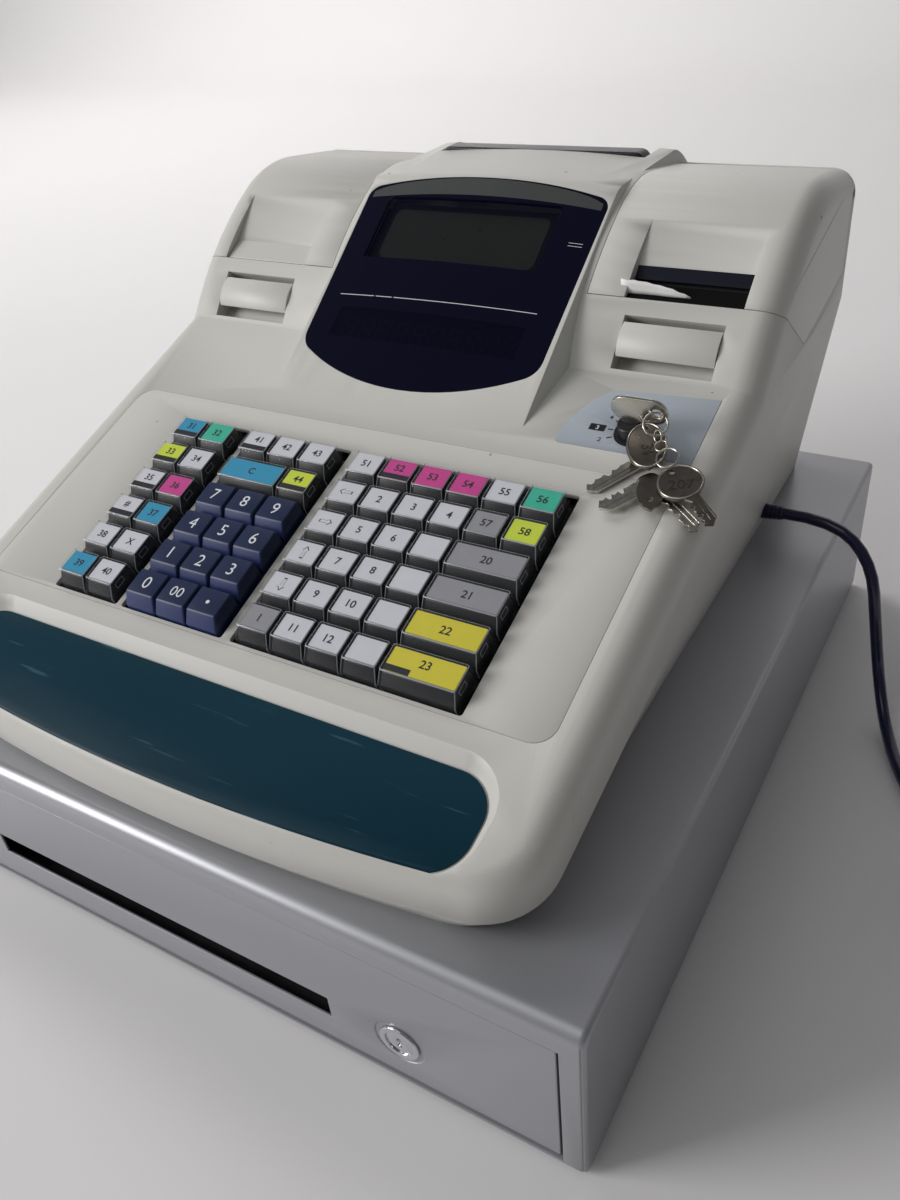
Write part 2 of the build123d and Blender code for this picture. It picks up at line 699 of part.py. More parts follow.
def body_outline(plane, stretch, half, y0, y1, inset):
    """Plan outline of the register, bowed at the front, drawn on a plane."""
    side = half - inset
    bow = BODY_ARC_R - (BODY_ARC_R ** 2 - side ** 2) ** 0.5
    with BuildSketch(plane) as outline:
        with BuildLine():
            ThreePointArc((-side, (y0 + inset + bow) * stretch), (0, (y0 + inset) * stretch),
                          (side, (y0 + inset + bow) * stretch))
            Polyline((side, (y0 + inset + bow) * stretch), (side, (y1 - inset) * stretch),
                     (-side, (y1 - inset) * stretch), (-side, (y0 + inset + bow) * stretch))
        make_face()
        fillet(outline.vertices().group_by(Axis.Y)[0], BODY_FRONT_R - inset)
        fillet(outline.vertices().group_by(Axis.Y)[-1], BODY_REAR_R - inset)
    return outline.sketch


def upper_block(inset):
    """Upper case without its display hump, as a solid shrunk by inset."""
    with BuildPart() as block:
        extrude(body_outline(parting_plane, parting_stretch, BODY_HALF, BODY_FRONT_Y, BODY_REAR_Y, inset),
                amount=220, dir=(0, 0, 1))
        with BuildSketch(Plane.YZ.offset(-BODY_HALF - 5)) as profile:
            with BuildLine():
                keys = Line((-240, slope_z(-240)), (CREASE_Y, slope_z(CREASE_Y)))
                front = ThreePointArc(keys @ 1, COVER_SEAM, COVER_BROW)
                brow = Line(front @ 1, front @ 1 + (front % 1) * CREST_RUN)
                top = Line(brow @ 1, brow @ 1 + Vector(130, -130 * COVER_REAR_DROP))
                Polyline(top @ 1, ((top @ 1).X, 60), (-240, 60), keys @ 0)
            make_face()
            fillet(profile.vertices().sort_by_distance(brow @ 1)[0], CREST_R)
            fillet(profile.vertices().sort_by_distance(keys @ 1)[0], CREASE_R)
            if inset:
                offset(amount=-inset, kind=Kind.INTERSECTION)
        extrude(amount=2 * BODY_HALF + 10, mode=Mode.INTERSECT)
        walls = block.faces().filter_by(lambda face: abs(face.normal_at().Z) < 0.01)
        floor_edges = block.faces().filter_by(lambda face: face.normal_at().Z < -0.5).edges()
        rim = [edge for edge in walls.edges()
               if edge not in floor_edges and abs(edge.tangent_at(0.5).Z) < 0.99]
        fillet(rim, BODY_EDGE_R - inset)
    return block.part


def hump_block(inset, half_limit):
    """Display hump reaching down into the body, shrunk by inset and cut off at half_limit."""
    tilt = radians(HUMP_SLOPE_DEG)
    foot = Plane(origin=(0, -40 * cos(tilt), HUMP_Z - 40 * sin(tilt)), x_dir=(1, 0, 0),
                 z_dir=(0, cos(tilt), sin(tilt)))
    half = HUMP_HALF - inset
    low_half = half + HUMP_DRAFT * HUMP_DEEP
    edge_z = HUMP_TOP - HUMP_CROWN - inset
    with BuildPart() as hump:
        with BuildSketch(foot):
            with BuildLine():
                ThreePointArc((-half, inset), (0, inset - HUMP_CROWN), (half, inset))
                Polyline((half, inset), (low_half, inset + HUMP_DEEP), (low_half, 240),
                         (-low_half, 240), (-low_half, inset + HUMP_DEEP), (-half, inset))
            make_face()
        extrude(amount=290)
        with BuildSketch(Plane.XZ.offset(60)):
            with BuildLine():
                ThreePointArc((-half, edge_z), (0, edge_z + HUMP_CROWN), (half, edge_z))
                Polyline((half, edge_z), (low_half, edge_z - HUMP_DEEP), (low_half, 100),
                         (-low_half, 100), (-low_half, edge_z - HUMP_DEEP), (-half, edge_z))
            make_face()
        extrude(amount=-60 - BODY_REAR_Y + inset, mode=Mode.INTERSECT)
        crest = hump.edges().filter_by(lambda edge: edge.center().Z > edge_z - 5
                                       and edge.center().Y > 100 and abs(edge.center().X) < 20)
        fillet(crest.sort_by(Axis.Y)[0], HUMP_CREST_R - inset)
        fillet(crest.sort_by(Axis.Y)[-1], BODY_EDGE_R - inset)
        with BuildSketch(Plane.XY.offset(90)):
            Rectangle(2 * half_limit, 2 * CASE_D)
        extrude(amount=250, mode=Mode.INTERSECT)
        extrude(body_outline(parting_plane, parting_stretch, BODY_HALF, BODY_FRONT_Y, BODY_REAR_Y, inset),
                amount=220, dir=(0, 0, 1), mode=Mode.INTERSECT)
    return hump.part


def face_prism(plane, width, y0, y1, x, low, high):
    """Box on a tilted plane, centred on x across it, between two depths along its normal."""
    with BuildPart() as prism:
        with BuildSketch(plane.offset(low)):
            with Locations((x, (y0 + y1) / 2)):
                Rectangle(width, y1 - y0)
        extrude(amount=high - low)
    return prism.part


def bay_zone(side, gap, rear):
    """Region of one printer cover, or of its opening, from the front seam to the hinge."""
    x_in = COVER_X0 + gap
    with BuildPart() as zone:
        with BuildSketch(Plane.YZ.offset(side * x_in)):
            with BuildLine():
                Polyline((FLAP_START[0], FLAP_START[1]), FLAP_TIP, FLAP_REAR, *rear,
                         (rear[-1][0], 310), (FLAP_START[0], 310), close=True)
            make_face()
            if gap:
                offset(amount=-gap, kind=Kind.INTERSECTION)
        extrude(amount=side * (BODY_HALF + 10 - x_in))
    return zone.part


def visor_outline(depth, margin):
    """Outline of the visor, grown by margin, at a depth below the flat hump plane."""
    with BuildSketch(hump_plane.offset(-depth)) as outline:
        with BuildLine():
            ThreePointArc((-VISOR_HALF_LOW, VISOR_V_LOW), (0, VISOR_V_LOW - VISOR_SAG_LOW),
                          (VISOR_HALF_LOW, VISOR_V_LOW))
            Line((VISOR_HALF_LOW, VISOR_V_LOW), (VISOR_HALF_TOP, VISOR_V_TOP))
            ThreePointArc((VISOR_HALF_TOP, VISOR_V_TOP), (0, VISOR_V_TOP + VISOR_SAG_TOP),
                          (-VISOR_HALF_TOP, VISOR_V_TOP))
            Line((-VISOR_HALF_TOP, VISOR_V_TOP), (-VISOR_HALF_LOW, VISOR_V_LOW))
        make_face()
        fillet(outline.vertices().group_by(Axis.Y)[0], VISOR_LOW_R)
        fillet(outline.vertices().sort_by(Axis.Y)[-2:], VISOR_TOP_R)
        if margin:
            offset(amount=margin)
    return outline.sketch


def visor_layer(depth, margin, height):
    """Everything inside the visor outline that lies outside the hump shrunk by depth."""
    with BuildPart() as layer:
        extrude(visor_outline(20, margin), amount=height)
        add(hump_block(depth, BODY_HALF), mode=Mode.SUBTRACT)
    return layer.part


def pocket_walls(side):
    """Block that carries one latch pocket, kept inside the body's outer face."""
    with BuildPart() as walls:
        add(upper_block(1))
        add(face_prism(face_plane, 2 * PAD_HALF + 6, -2, pocket_len + 2, side * PAD_X, -POCKET_DEPTH - 2, 20),
            mode=Mode.INTERSECT)
    return walls.part


hump_tilt = radians(HUMP_SLOPE_DEG)
hump_plane = Plane(origin=(0, 0, HUMP_Z), x_dir=(1, 0, 0), z_dir=(0, -sin(hump_tilt), cos(hump_tilt)))
face_rise = atan2(POCKET_TOP[1] - POCKET_LOW[1], POCKET_TOP[0] - POCKET_LOW[0])
face_plane = Plane(origin=(0, *POCKET_LOW), x_dir=(1, 0, 0), z_dir=(0, -sin(face_rise), cos(face_rise)))
pocket_len = hypot(POCKET_TOP[0] - POCKET_LOW[0], POCKET_TOP[1] - POCKET_LOW[1])
mat_rise = atan2(MAT_REAR[1] - MAT_FRONT[1], MAT_REAR[0] - MAT_FRONT[0])
mat_plane = Plane(origin=(0, *MAT_REAR), x_dir=(1, 0, 0), z_dir=(0, -sin(mat_rise), cos(mat_rise)))
mat_len = hypot(MAT_REAR[0] - MAT_FRONT[0], MAT_REAR[1] - MAT_FRONT[1])


def mat_outline(offset_z, margin):
    """Outline of the coin mat, grown by margin, with its bowed front edge."""
    half = MAT_HALF + margin
    bow = TRAY_ARC_R - (TRAY_ARC_R ** 2 - half ** 2) ** 0.5
    with BuildSketch(mat_plane.offset(offset_z)) as outline:
        with BuildLine():
            ThreePointArc((-half, bow - mat_len - margin), (0, -mat_len - margin),
                          (half, bow - mat_len - margin))
            Polyline((half, bow - mat_len - margin), (half, margin), (-half, margin),
                     (-half, bow - mat_len - margin))
        make_face()
        fillet(outline.vertices(), MAT_CORNER_R + margin)
    return outline.sketch


def plate_outline(margin):
    """Outline of the mode plate on the keyboard slope, grown by margin."""
    with BuildSketch() as outline:
        with BuildLine():
            low = Polyline(*[(x, y / cos(slope)) for x, y in PLATE_CORNERS])
            ThreePointArc(low @ 1, (PLATE_BULGE[0], PLATE_BULGE[1] / cos(slope)), low @ 0)
        make_face()
        corners = outline.vertices()
        fillet(corners.sort_by_distance(low @ 0)[0], 3)
        fillet(corners.sort_by_distance((PLATE_CORNERS[1][0], PLATE_CORNERS[1][1] / cos(slope)))[0], 11)
        fillet(corners.sort_by_distance((PLATE_CORNERS[2][0], PLATE_CORNERS[2][1] / cos(slope)))[0], 4)
        if margin:
            offset(amount=margin)
    return outline.sketch


pad_pivot_point = face_plane.from_local_coords((0, PAD_PIVOT[0], PAD_PIVOT[1]))
pad_pivot = (pad_pivot_point.Y, pad_pivot_point.Z)

with BuildPart() as void:
    add(upper_block(WALL))
    for side in (-1, 1):
        with BuildSketch(Plane.XY.offset(90)):
            with Locations((side * (COVER_X0 - WALL / 2), (BAY_FRONT_Y + BODY_REAR_Y) / 2)):
                Rectangle(WALL, BODY_REAR_Y - BAY_FRONT_Y)
        extrude(amount=220, mode=Mode.SUBTRACT)

with BuildPart() as tray_pan:
    add(upper_block(WALL / 2))
    floor_y = MAT_FRONT[0] - 10
    low = -tan(mat_rise) * (MAT_REAR[0] - floor_y)
    add(side_prism([(TRAY_REAR_Y + 5, slope_z(TRAY_REAR_Y) + 20), (TRAY_REAR_Y + 5, slope_z(TRAY_REAR_Y) - 3),
                    (MAT_REAR[0] + 2, MAT_REAR[1] - WALL), (floor_y, MAT_REAR[1] - WALL + low),
                    (floor_y, slope_z(TRAY_REAR_Y) + 20)], -MAT_HALF - 9, MAT_HALF + 9), mode=Mode.INTERSECT)

with BuildPart() as upper_case:
    add(upper_block(0))
    add(hump_block(0, BODY_HALF))
    add(void.part, mode=Mode.SUBTRACT)
    add(hump_block(HUMP_WALL, COVER_X0 - WALL), mode=Mode.SUBTRACT)
    add(tray_pan.part)
    extrude(mat_outline(0, 0.6), amount=12, taper=-TRAY_BEVEL_DEG, mode=Mode.SUBTRACT)
    # seat of the keyboard panel
    with BuildSketch(slope_plane.offset(-PANEL_T - WALL)):
        with Locations((0, (PANEL_Y0 + PANEL_Y1) / 2 / cos(slope))):
            RectangleRounded(2 * PANEL_HALF + 8, (PANEL_Y1 - PANEL_Y0) / cos(slope) + 4, PANEL_R)
    extrude(amount=WALL)
    with BuildSketch(slope_plane.offset(-PANEL_T)):
        with Locations((0, (PANEL_Y0 + PANEL_Y1) / 2 / cos(slope))):
            RectangleRounded(2 * (PANEL_HALF + PANEL_FIT), (PANEL_Y1 - PANEL_Y0) / cos(slope) + 2 * PANEL_FIT,
                             PANEL_R)
    extrude(amount=PANEL_T + 3, mode=Mode.SUBTRACT)
    with BuildSketch(slope_plane.offset(-PANEL_T - WALL - 1)):
        with Locations((0, (PANEL_Y0 + PANEL_Y1) / 2 / cos(slope) - PANEL_LEDGE / 2 + 0.4)):
            RectangleRounded(2 * (PANEL_HALF - PANEL_LEDGE),
                             (PANEL_Y1 - PANEL_Y0) / cos(slope) - PANEL_LEDGE - 0.8, PANEL_R - PANEL_LEDGE)
    extrude(amount=WALL + 3, mode=Mode.SUBTRACT)
    # printer bays
    for side in (-1, 1):
        add(bay_zone(side, 0, [(HINGE_Y, HINGE_Z - HINGE_R - 0.8),
                               (HINGE_Y + HINGE_R + SEAM, HINGE_Z - HINGE_R - 0.8)]), mode=Mode.SUBTRACT)
    # notch of the customer display
    with BuildSketch(Plane.XY.offset(POLE_Z - FACE_GAP)):
        with Locations((0, POLE_Y0 - SEAM + 30)):
            Rectangle(2 * (POLE_HALF + SEAM), 60)
    extrude(amount=60, mode=Mode.SUBTRACT)
    # seat of the visor and the window behind it
    add(visor_layer(VISOR_T, VISOR_FIT, 40), mode=Mode.SUBTRACT)
    with BuildSketch(hump_plane.offset(-20)):
        with Locations((0, WINDOW_V)):
            RectangleRounded(2 * WINDOW_HALF, WINDOW_LEN, 6)
    extrude(amount=40, mode=Mode.SUBTRACT)
    # pockets of the release latches
    for side in (-1, 1):
        add(pocket_walls(side))
        add(face_prism(face_plane, 2 * PAD_HALF + 1, 0, pocket_len, side * PAD_X, -POCKET_DEPTH, 20),
            mode=Mode.SUBTRACT)
        with BuildSketch(Plane.YZ.offset(side * PAD_X - PAD_HALF - 2.1)):
            with Locations(pad_pivot):
                Circle(PAD_PIN_R + PIN_FIT)
        extrude(amount=2 * PAD_HALF + 4.2, mode=Mode.SUBTRACT)
    # posts of the cover hinges, standing on brackets from the rear wall
    for x in [side * post for side in (-1, 1) for post in HINGE_POSTS]:
        with BuildSketch(Plane.YZ.offset(x - HINGE_POST_T / 2)):
            with Locations((HINGE_Y, (HINGE_Z + HINGE_FOOT_Z) / 2)):
                Rectangle(HINGE_POST_W, HINGE_Z - HINGE_FOOT_Z)
            with Locations((HINGE_Y, HINGE_Z)):
                Circle(HINGE_POST_W / 2 + 0.6)
            with Locations(((HINGE_Y + BODY_REAR_Y - WALL) / 2, HINGE_FOOT_Z + 3)):
                Rectangle(BODY_REAR_Y - WALL - HINGE_Y + HINGE_POST_W, 6)
            with Locations((HINGE_Y, HINGE_Z)):
                Circle(HINGE_PIN_R + PIN_FIT, mode=Mode.SUBTRACT)
        extrude(amount=HINGE_POST_T)
    # mode plate seat and lock hole
    with BuildSketch(slope_plane.offset(-PLATE_SEAT)):
        add(plate_outline(0.15))
    extrude(amount=4, mode=Mode.SUBTRACT)
    with BuildSketch(slope_plane.offset(-WALL - 3)):
        with Locations((MODE_X, MODE_Y / cos(slope))):
            Circle(MODE_COLLAR_R + FACE_GAP)
    extrude(amount=WALL + 6, mode=Mode.SUBTRACT)
upper_case.part.label = "upper_case"
export_step(upper_case.part, "parts/upper_case.step")

# lower case, flaring from its foot to the joint with the upper case
def lower_block(inset, floor_z):
    """Lower case as a solid, shrunk by inset, standing at floor_z."""
    with BuildPart() as block:
        loft([body_outline(Plane.XY.offset(floor_z), 1, BASE_HALF, BASE_FRONT_Y, BASE_REAR_Y, inset).face(),
              body_outline(parting_plane, parting_stretch, BODY_HALF, BODY_FRONT_Y, BODY_REAR_Y,
                           inset).face()],
             ruled=True)
    return block.part


route = [Vector(*point) for point in CORD_ROUTE]
cord_plane = Plane(origin=route[0], x_dir=(0, 0, 1), z_dir=route[1] - route[0])
with BuildPart() as lower_case:
    add(lower_block(0, CASE_TOP))
    add(lower_block(WALL, CASE_TOP + WALL), mode=Mode.SUBTRACT)
    with BuildSketch(cord_plane):
        Circle(BOOT_NECK_R + PIN_FIT)
    extrude(amount=-BOOT_LENGTH, mode=Mode.SUBTRACT)
lower_case.part.label = "lower_case"
export_step(lower_case.part, "parts/lower_case.step")

# keyboard panel with its three key openings
with BuildPart() as keyboard_panel:
    with BuildSketch(slope_plane.offset(-PANEL_T)):
        with Locations((0, (PANEL_Y0 + PANEL_Y1) / 2 / cos(slope))):
            RectangleRounded(2 * PANEL_HALF, (PANEL_Y1 - PANEL_Y0) / cos(slope), PANEL_R)
    extrude(amount=PANEL_T)
    for x0, x1 in KEY_OPENINGS:
        with BuildSketch(key_plane.offset(-KEY_ABOVE - 2 * PANEL_T)):
            with Locations(((x0 + x1) / 2, (OPENING_V1 + OPENING_V0) / 2)):
                RectangleRounded(x1 - x0, OPENING_V1 - OPENING_V0, 1.5)
        extrude(amount=4 * PANEL_T, mode=Mode.SUBTRACT)
keyboard_panel.part.label = "keyboard_panel"
export_step(keyboard_panel.part, "parts/keyboard_panel.step")


def key_cells():
    """Middle of every single key position as (u, v) on the key plane."""
    cells = []
    for x, columns in ((LEFT_X, 2), (MID_X, 3), (RIGHT_X, 6)):
        for column in range(columns):
            for row in range(ROWS):
                cells.append((x + column * KEY_PITCH_X + KEY_CAP / 2,
                              KEY_MARGIN - row * KEY_PITCH_V - KEY_BASE / 2))
    return cells


board_len = ROWS * KEY_PITCH_V + 6
board_mid = -ROWS * KEY_PITCH_V / 2 + 2.5
board_x0 = LEFT_X - 13
board_x1 = RIGHT_X + 6 * KEY_PITCH_X + 11
post_cells = [(x, v) for x in POST_X for v in (POST_V1, POST_V0)]
with BuildPart() as key_guide:
    with BuildSketch(key_plane.offset(-GUIDE_OFF - GUIDE_T)):
        with Locations(((board_x0 + board_x1) / 2, board_mid)):
            Rectangle(board_x1 - board_x0, board_len)
        with Locations(*key_cells()):
            Rectangle(KEY_STEM + 0.7, KEY_STEM + 0.7, mode=Mode.SUBTRACT)
    extrude(amount=GUIDE_T)
    with BuildSketch(key_plane.offset(-BOARD_OFF)):
        with Locations(*post_cells):
            Circle(POST_R)
    extrude(amount=BOARD_OFF - KEY_ABOVE - PANEL_T - 0.05)
key_guide.part.label = "key_guide"
export_step(key_guide.part, "parts/key_guide.step")

with BuildPart() as key_board:
    with BuildSketch(key_plane.offset(-BOARD_OFF - BOARD_T)):
        with Locations(((board_x0 + board_x1) / 2, board_mid)):
            Rectangle(board_x1 - board_x0, board_len)
    extrude(amount=BOARD_T)
key_board.part.label = "key_board"
export_step(key_board.part, "parts/key_board.step")


def key_cap(x, row, columns=1):
    """Key cap with skirt and stems; x is the left edge of its top face."""
    width = KEY_CAP + (columns - 1) * KEY_PITCH_X
    base = width + KEY_BASE - KEY_CAP
    v = -row * KEY_PITCH_V
    cap_mid = x + width / 2
    base_v = v + KEY_MARGIN - KEY_BASE / 2
    with BuildPart() as cap:
        with BuildSketch(key_plane.offset(-KEY_SLANT)):
            with Locations((cap_mid, base_v)):
                RectangleRounded(base, KEY_BASE, 1)
        with BuildSketch(key_plane):
            with Locations((cap_mid, v - KEY_TOP_D / 2)):
                RectangleRounded(width, KEY_TOP_D, 1)
        loft()
        with BuildSketch(key_plane.offset(-KEY_SKIRT)):
            with Locations((cap_mid, base_v)):
                RectangleRounded(base, KEY_BASE, 1)
        extrude(amount=KEY_SKIRT - KEY_SLANT)
        with BuildSketch(key_plane.offset(-KEY_SKIRT)):
            with Locations((cap_mid, v - KEY_TOP_D / 2 - 0.9)):
                Rectangle(width - 3, KEY_TOP_D - 0.6)
        extrude(amount=KEY_SKIRT - 4.5, mode=Mode.SUBTRACT)
        with BuildSketch(key_plane.offset(-KEY_STEM_LOW)):
            with Locations(*[(x + column * KEY_PITCH_X + KEY_CAP / 2, base_v) for column in range(columns)]):
                Rectangle(KEY_STEM, KEY_STEM)
        extrude(amount=KEY_STEM_LOW - 4.4)
    return cap.part


def export_keys(name, keys):
    """Write one node holding the given keys, each a tuple of key_cap arguments."""
    with BuildPart() as group:
        for key in keys:
            add(key_cap(*key))
    group.part.label = name
    export_step(group.part, f"parts/{name}.step")
    return group.part


def column_x(start, column):
    """Left edge of the keys in one column of a block."""
    return start + column * KEY_PITCH_X


for digit in range(1, 10):
    export_keys(f"number_key_{digit}", [(column_x(MID_X, (digit - 1) % 3), 4 - (digit - 1) // 3)])
export_keys("number_key_0", [(column_x(MID_X, 0), 5)])
export_keys("number_key_00", [(column_x(MID_X, 1), 5)])
export_keys("number_key_point", [(column_x(MID_X, 2), 5)])
export_keys("clear_key", [(column_x(MID_X, 0), 1, 2)])
export_keys("subtotal_key", [(column_x(RIGHT_X, 4), 4, 2)])
export_keys("total_key", [(column_x(RIGHT_X, 4), 5, 2)])
export_keys("payment_keys", [(column_x(RIGHT_X, 4), row, 2) for row in (2, 3)])
export_keys("function_keys", [(column_x(LEFT_X, column), row) for column in range(2) for row in range(ROWS)]
            + [(column_x(MID_X, column), 0) for column in range(3)] + [(column_x(MID_X, 2), 1)]
            + [(column_x(RIGHT_X, column), 0) for column in range(6)]
            + [(column_x(RIGHT_X, column), 1) for column in (4, 5)])
export_keys("department_keys",
            [(column_x(RIGHT_X, column), row) for column in range(4) for row in range(1, ROWS)])

# coin mat lying in the tray
with BuildPart() as coin_mat:
    extrude(mat_outline(0, 0), amount=MAT_T)
    add(upper_block(0.2), mode=Mode.INTERSECT)
coin_mat.part.label = "coin_mat"
export_step(coin_mat.part, "parts/coin_mat.step")

# visor, the display board behind it and the customer display
with BuildPart() as visor:
    add(visor_layer(VISOR_T, 0, 40))
    add(hump_block(0, BODY_HALF), mode=Mode.INTERSECT)
visor.part.label = "visor"
export_step(visor.part, "parts/visor.step")

with BuildPart() as display_board:
    with BuildSketch(hump_plane.offset(-DISPLAY_DEPTH)):
        with Locations((0, WINDOW_V)):
            Rectangle(2 * (WINDOW_HALF + 6), WINDOW_LEN - 6)
    extrude(amount=-BOARD_T)
    with BuildSketch(hump_plane.offset(-DISPLAY_DEPTH)):
        with Locations(*[(side * BOARD_POST_X, v) for side in (-1, 1) for v in (WINDOW_V - 40, WINDOW_V)]):
            Circle(2)
    extrude(amount=DISPLAY_DEPTH - BOARD_POST_TOP)
    with BuildSketch(hump_plane.offset(-DISPLAY_DEPTH)):
        with Locations((LCD_X, LCD_V)):
            Rectangle(LCD_W, LCD_H)
        with Locations((0, DIGIT_V)):
            Rectangle(DIGIT_W, DIGIT_H)
    extrude(amount=DISPLAY_DEPTH - VISOR_T - 1.5)
display_board.part.label = "display_board"
export_step(display_board.part, "parts/display_board.step")

with BuildPart() as customer_display:
    with BuildSketch(Plane.XZ.offset(-POLE_Y0 - POLE_DEPTH)):
        with Locations((0, (POLE_Z + POLE_TOP) / 2)):
            Rectangle(2 * POLE_HALF, POLE_TOP - POLE_Z)
    extrude(amount=POLE_DEPTH)
    fillet(customer_display.edges().filter_by(Axis.Y).group_by(Axis.Z)[-1], POLE_R)
    fillet(customer_display.faces().sort_by(Axis.Z)[-1].edges(), 1.2)
    with BuildSketch(Plane.XZ.offset(-POLE_Y0 - POLE_DEPTH)):
        with Locations((0, (POLE_Z + POLE_TOP) / 2)):
            RectangleRounded(2 * POLE_HALF - 30, POLE_TOP - POLE_Z - 12, 3)
    extrude(amount=0.8, mode=Mode.SUBTRACT)
customer_display.part.label = "customer_display"
export_step(customer_display.part, "parts/customer_display.step")

# ---------------------------------------------------------------------------
# Printer covers and their release latches
# ---------------------------------------------------------------------------

def printer_cover(side):
    """Hinged printer cover with a scooped recess above its paper mouth."""
    x_in = COVER_X0 + SEAM
    post_x = [side * post for post in HINGE_POSTS]
    with BuildPart() as scoop:
        with BuildSketch(Plane.YZ.offset(side * PRINTER_X - RECESS_HALF)):
            with BuildLine():
                floor = ThreePointArc(RECESS_TOP, RECESS_MID, RECESS_LOW)
                Polyline(floor @ 1, RECESS_FOOT, (RECESS_FOOT[0] - 30, RECESS_FOOT[1]),
                         (RECESS_FOOT[0] - 30, RECESS_TOP[1] + 30),
                         (RECESS_TOP[0], RECESS_TOP[1] + 30), floor @ 0)
            make_face()
        extrude(amount=2 * RECESS_HALF)
    with BuildPart() as lining:
        with BuildSketch(Plane.YZ.offset(side * PRINTER_X - RECESS_HALF - WALL)):
            with BuildLine():
                floor = ThreePointArc(RECESS_TOP, RECESS_MID, RECESS_LOW)
                Polyline(floor @ 1, RECESS_FOOT, (RECESS_FOOT[0] - 30, RECESS_FOOT[1]),
                         (RECESS_FOOT[0] - 30, RECESS_TOP[1] + 30),
                         (RECESS_TOP[0], RECESS_TOP[1] + 30), floor @ 0)
            make_face()
            offset(amount=WALL, kind=Kind.INTERSECTION)
        extrude(amount=2 * (RECESS_HALF + WALL))
        add(upper_block(0), mode=Mode.INTERSECT)
        add(bay_zone(side, SEAM, [(HINGE_Y, HINGE_Z)]), mode=Mode.INTERSECT)
    with BuildPart() as skin:
        add(upper_block(0))
        add(upper_block(WALL), mode=Mode.SUBTRACT)
        add(bay_zone(side, SEAM, [(HINGE_Y, HINGE_Z)]), mode=Mode.INTERSECT)
    with BuildPart() as barrel:
        with BuildSketch(Plane.YZ.offset(side * x_in)):
            with Locations((HINGE_Y, HINGE_Z)):
                Circle(HINGE_R)
        extrude(amount=side * (BODY_HALF - x_in - 1))
        add(upper_block(0.2), mode=Mode.INTERSECT)
    with BuildPart() as cover:
        add(skin.part)
        add(lining.part)
        add(barrel.part)
        add(scoop.part, mode=Mode.SUBTRACT)
        # mouth between the recess and the front seam
        with BuildSketch(Plane.XY.offset(FLAP_TIP[1])):
            with Locations((side * PRINTER_X, RECESS_LOW[0] + 3.5 - 30)):
                Rectangle(2 * RECESS_HALF, 60)
        extrude(amount=MOUTH_TOP_Z - FLAP_TIP[1], mode=Mode.SUBTRACT)
        # slots for the hinge posts, closed at the top by a strip of the barrel
        for x in post_x:
            with BuildSketch(Plane.YZ.offset(x - HINGE_POST_T / 2 - 1)):
                with Locations((HINGE_Y, HINGE_Z)):
                    Circle(HINGE_R - 2.1)
                with BuildLine():
                    Polyline((HINGE_Y, HINGE_Z), (HINGE_Y + 12, HINGE_Z + 12 * tan(radians(20))),
                             (HINGE_Y + 12, HINGE_Z - 12), (HINGE_Y - 12, HINGE_Z - 12),
                             (HINGE_Y - 12, HINGE_Z), close=True)
                make_face()
                with Locations((HINGE_Y, HINGE_Z)):
                    Circle(HINGE_PIN_R, mode=Mode.SUBTRACT)
            extrude(amount=HINGE_POST_T + 2, mode=Mode.SUBTRACT)
    return cover.part


journal_cover = printer_cover(-1)
journal_cover.label = "journal_cover"
export_step(journal_cover, "parts/journal_cover.step")

receipt_cover = printer_cover(1)
receipt_cover.label = "receipt_cover"
export_step(receipt_cover, "parts/receipt_cover.step")


def release_latch(side):
    """Push pad that swings on two pins in its pocket."""
    x = side * PAD_X
    with BuildPart() as pad:
        with BuildSketch(Plane(origin=face_plane.origin, x_dir=face_plane.y_dir, z_dir=(1, 0, 0))
                         .offset(x - PAD_HALF)):
            with BuildLine():
                outer = ThreePointArc((PAD_LOW, -0.4), (PAD_LOW + 6, 2.0), (pocket_len - 3.4, 0.2))
                Polyline(outer @ 1, (pocket_len - 3.4, -4.6), (PAD_PIVOT[0] - 3, -6.0), (PAD_LOW + 2, -3.6),
                         outer @ 0)
            make_face()
        extrude(amount=2 * PAD_HALF)
        with BuildSketch(Plane.YZ.offset(x - PAD_HALF - 1.8)):
            with Locations(pad_pivot):
                Circle(PAD_PIN_R)
        extrude(amount=2 * PAD_HALF + 3.6)
    return pad.part


for name, side in (("journal_latch", -1), ("receipt_latch", 1)):
    latch = release_latch(side)
    latch.label = name
    export_step(latch, f"parts/{name}.step")

# ---------------------------------------------------------------------------
# Printers and paper
# ---------------------------------------------------------------------------

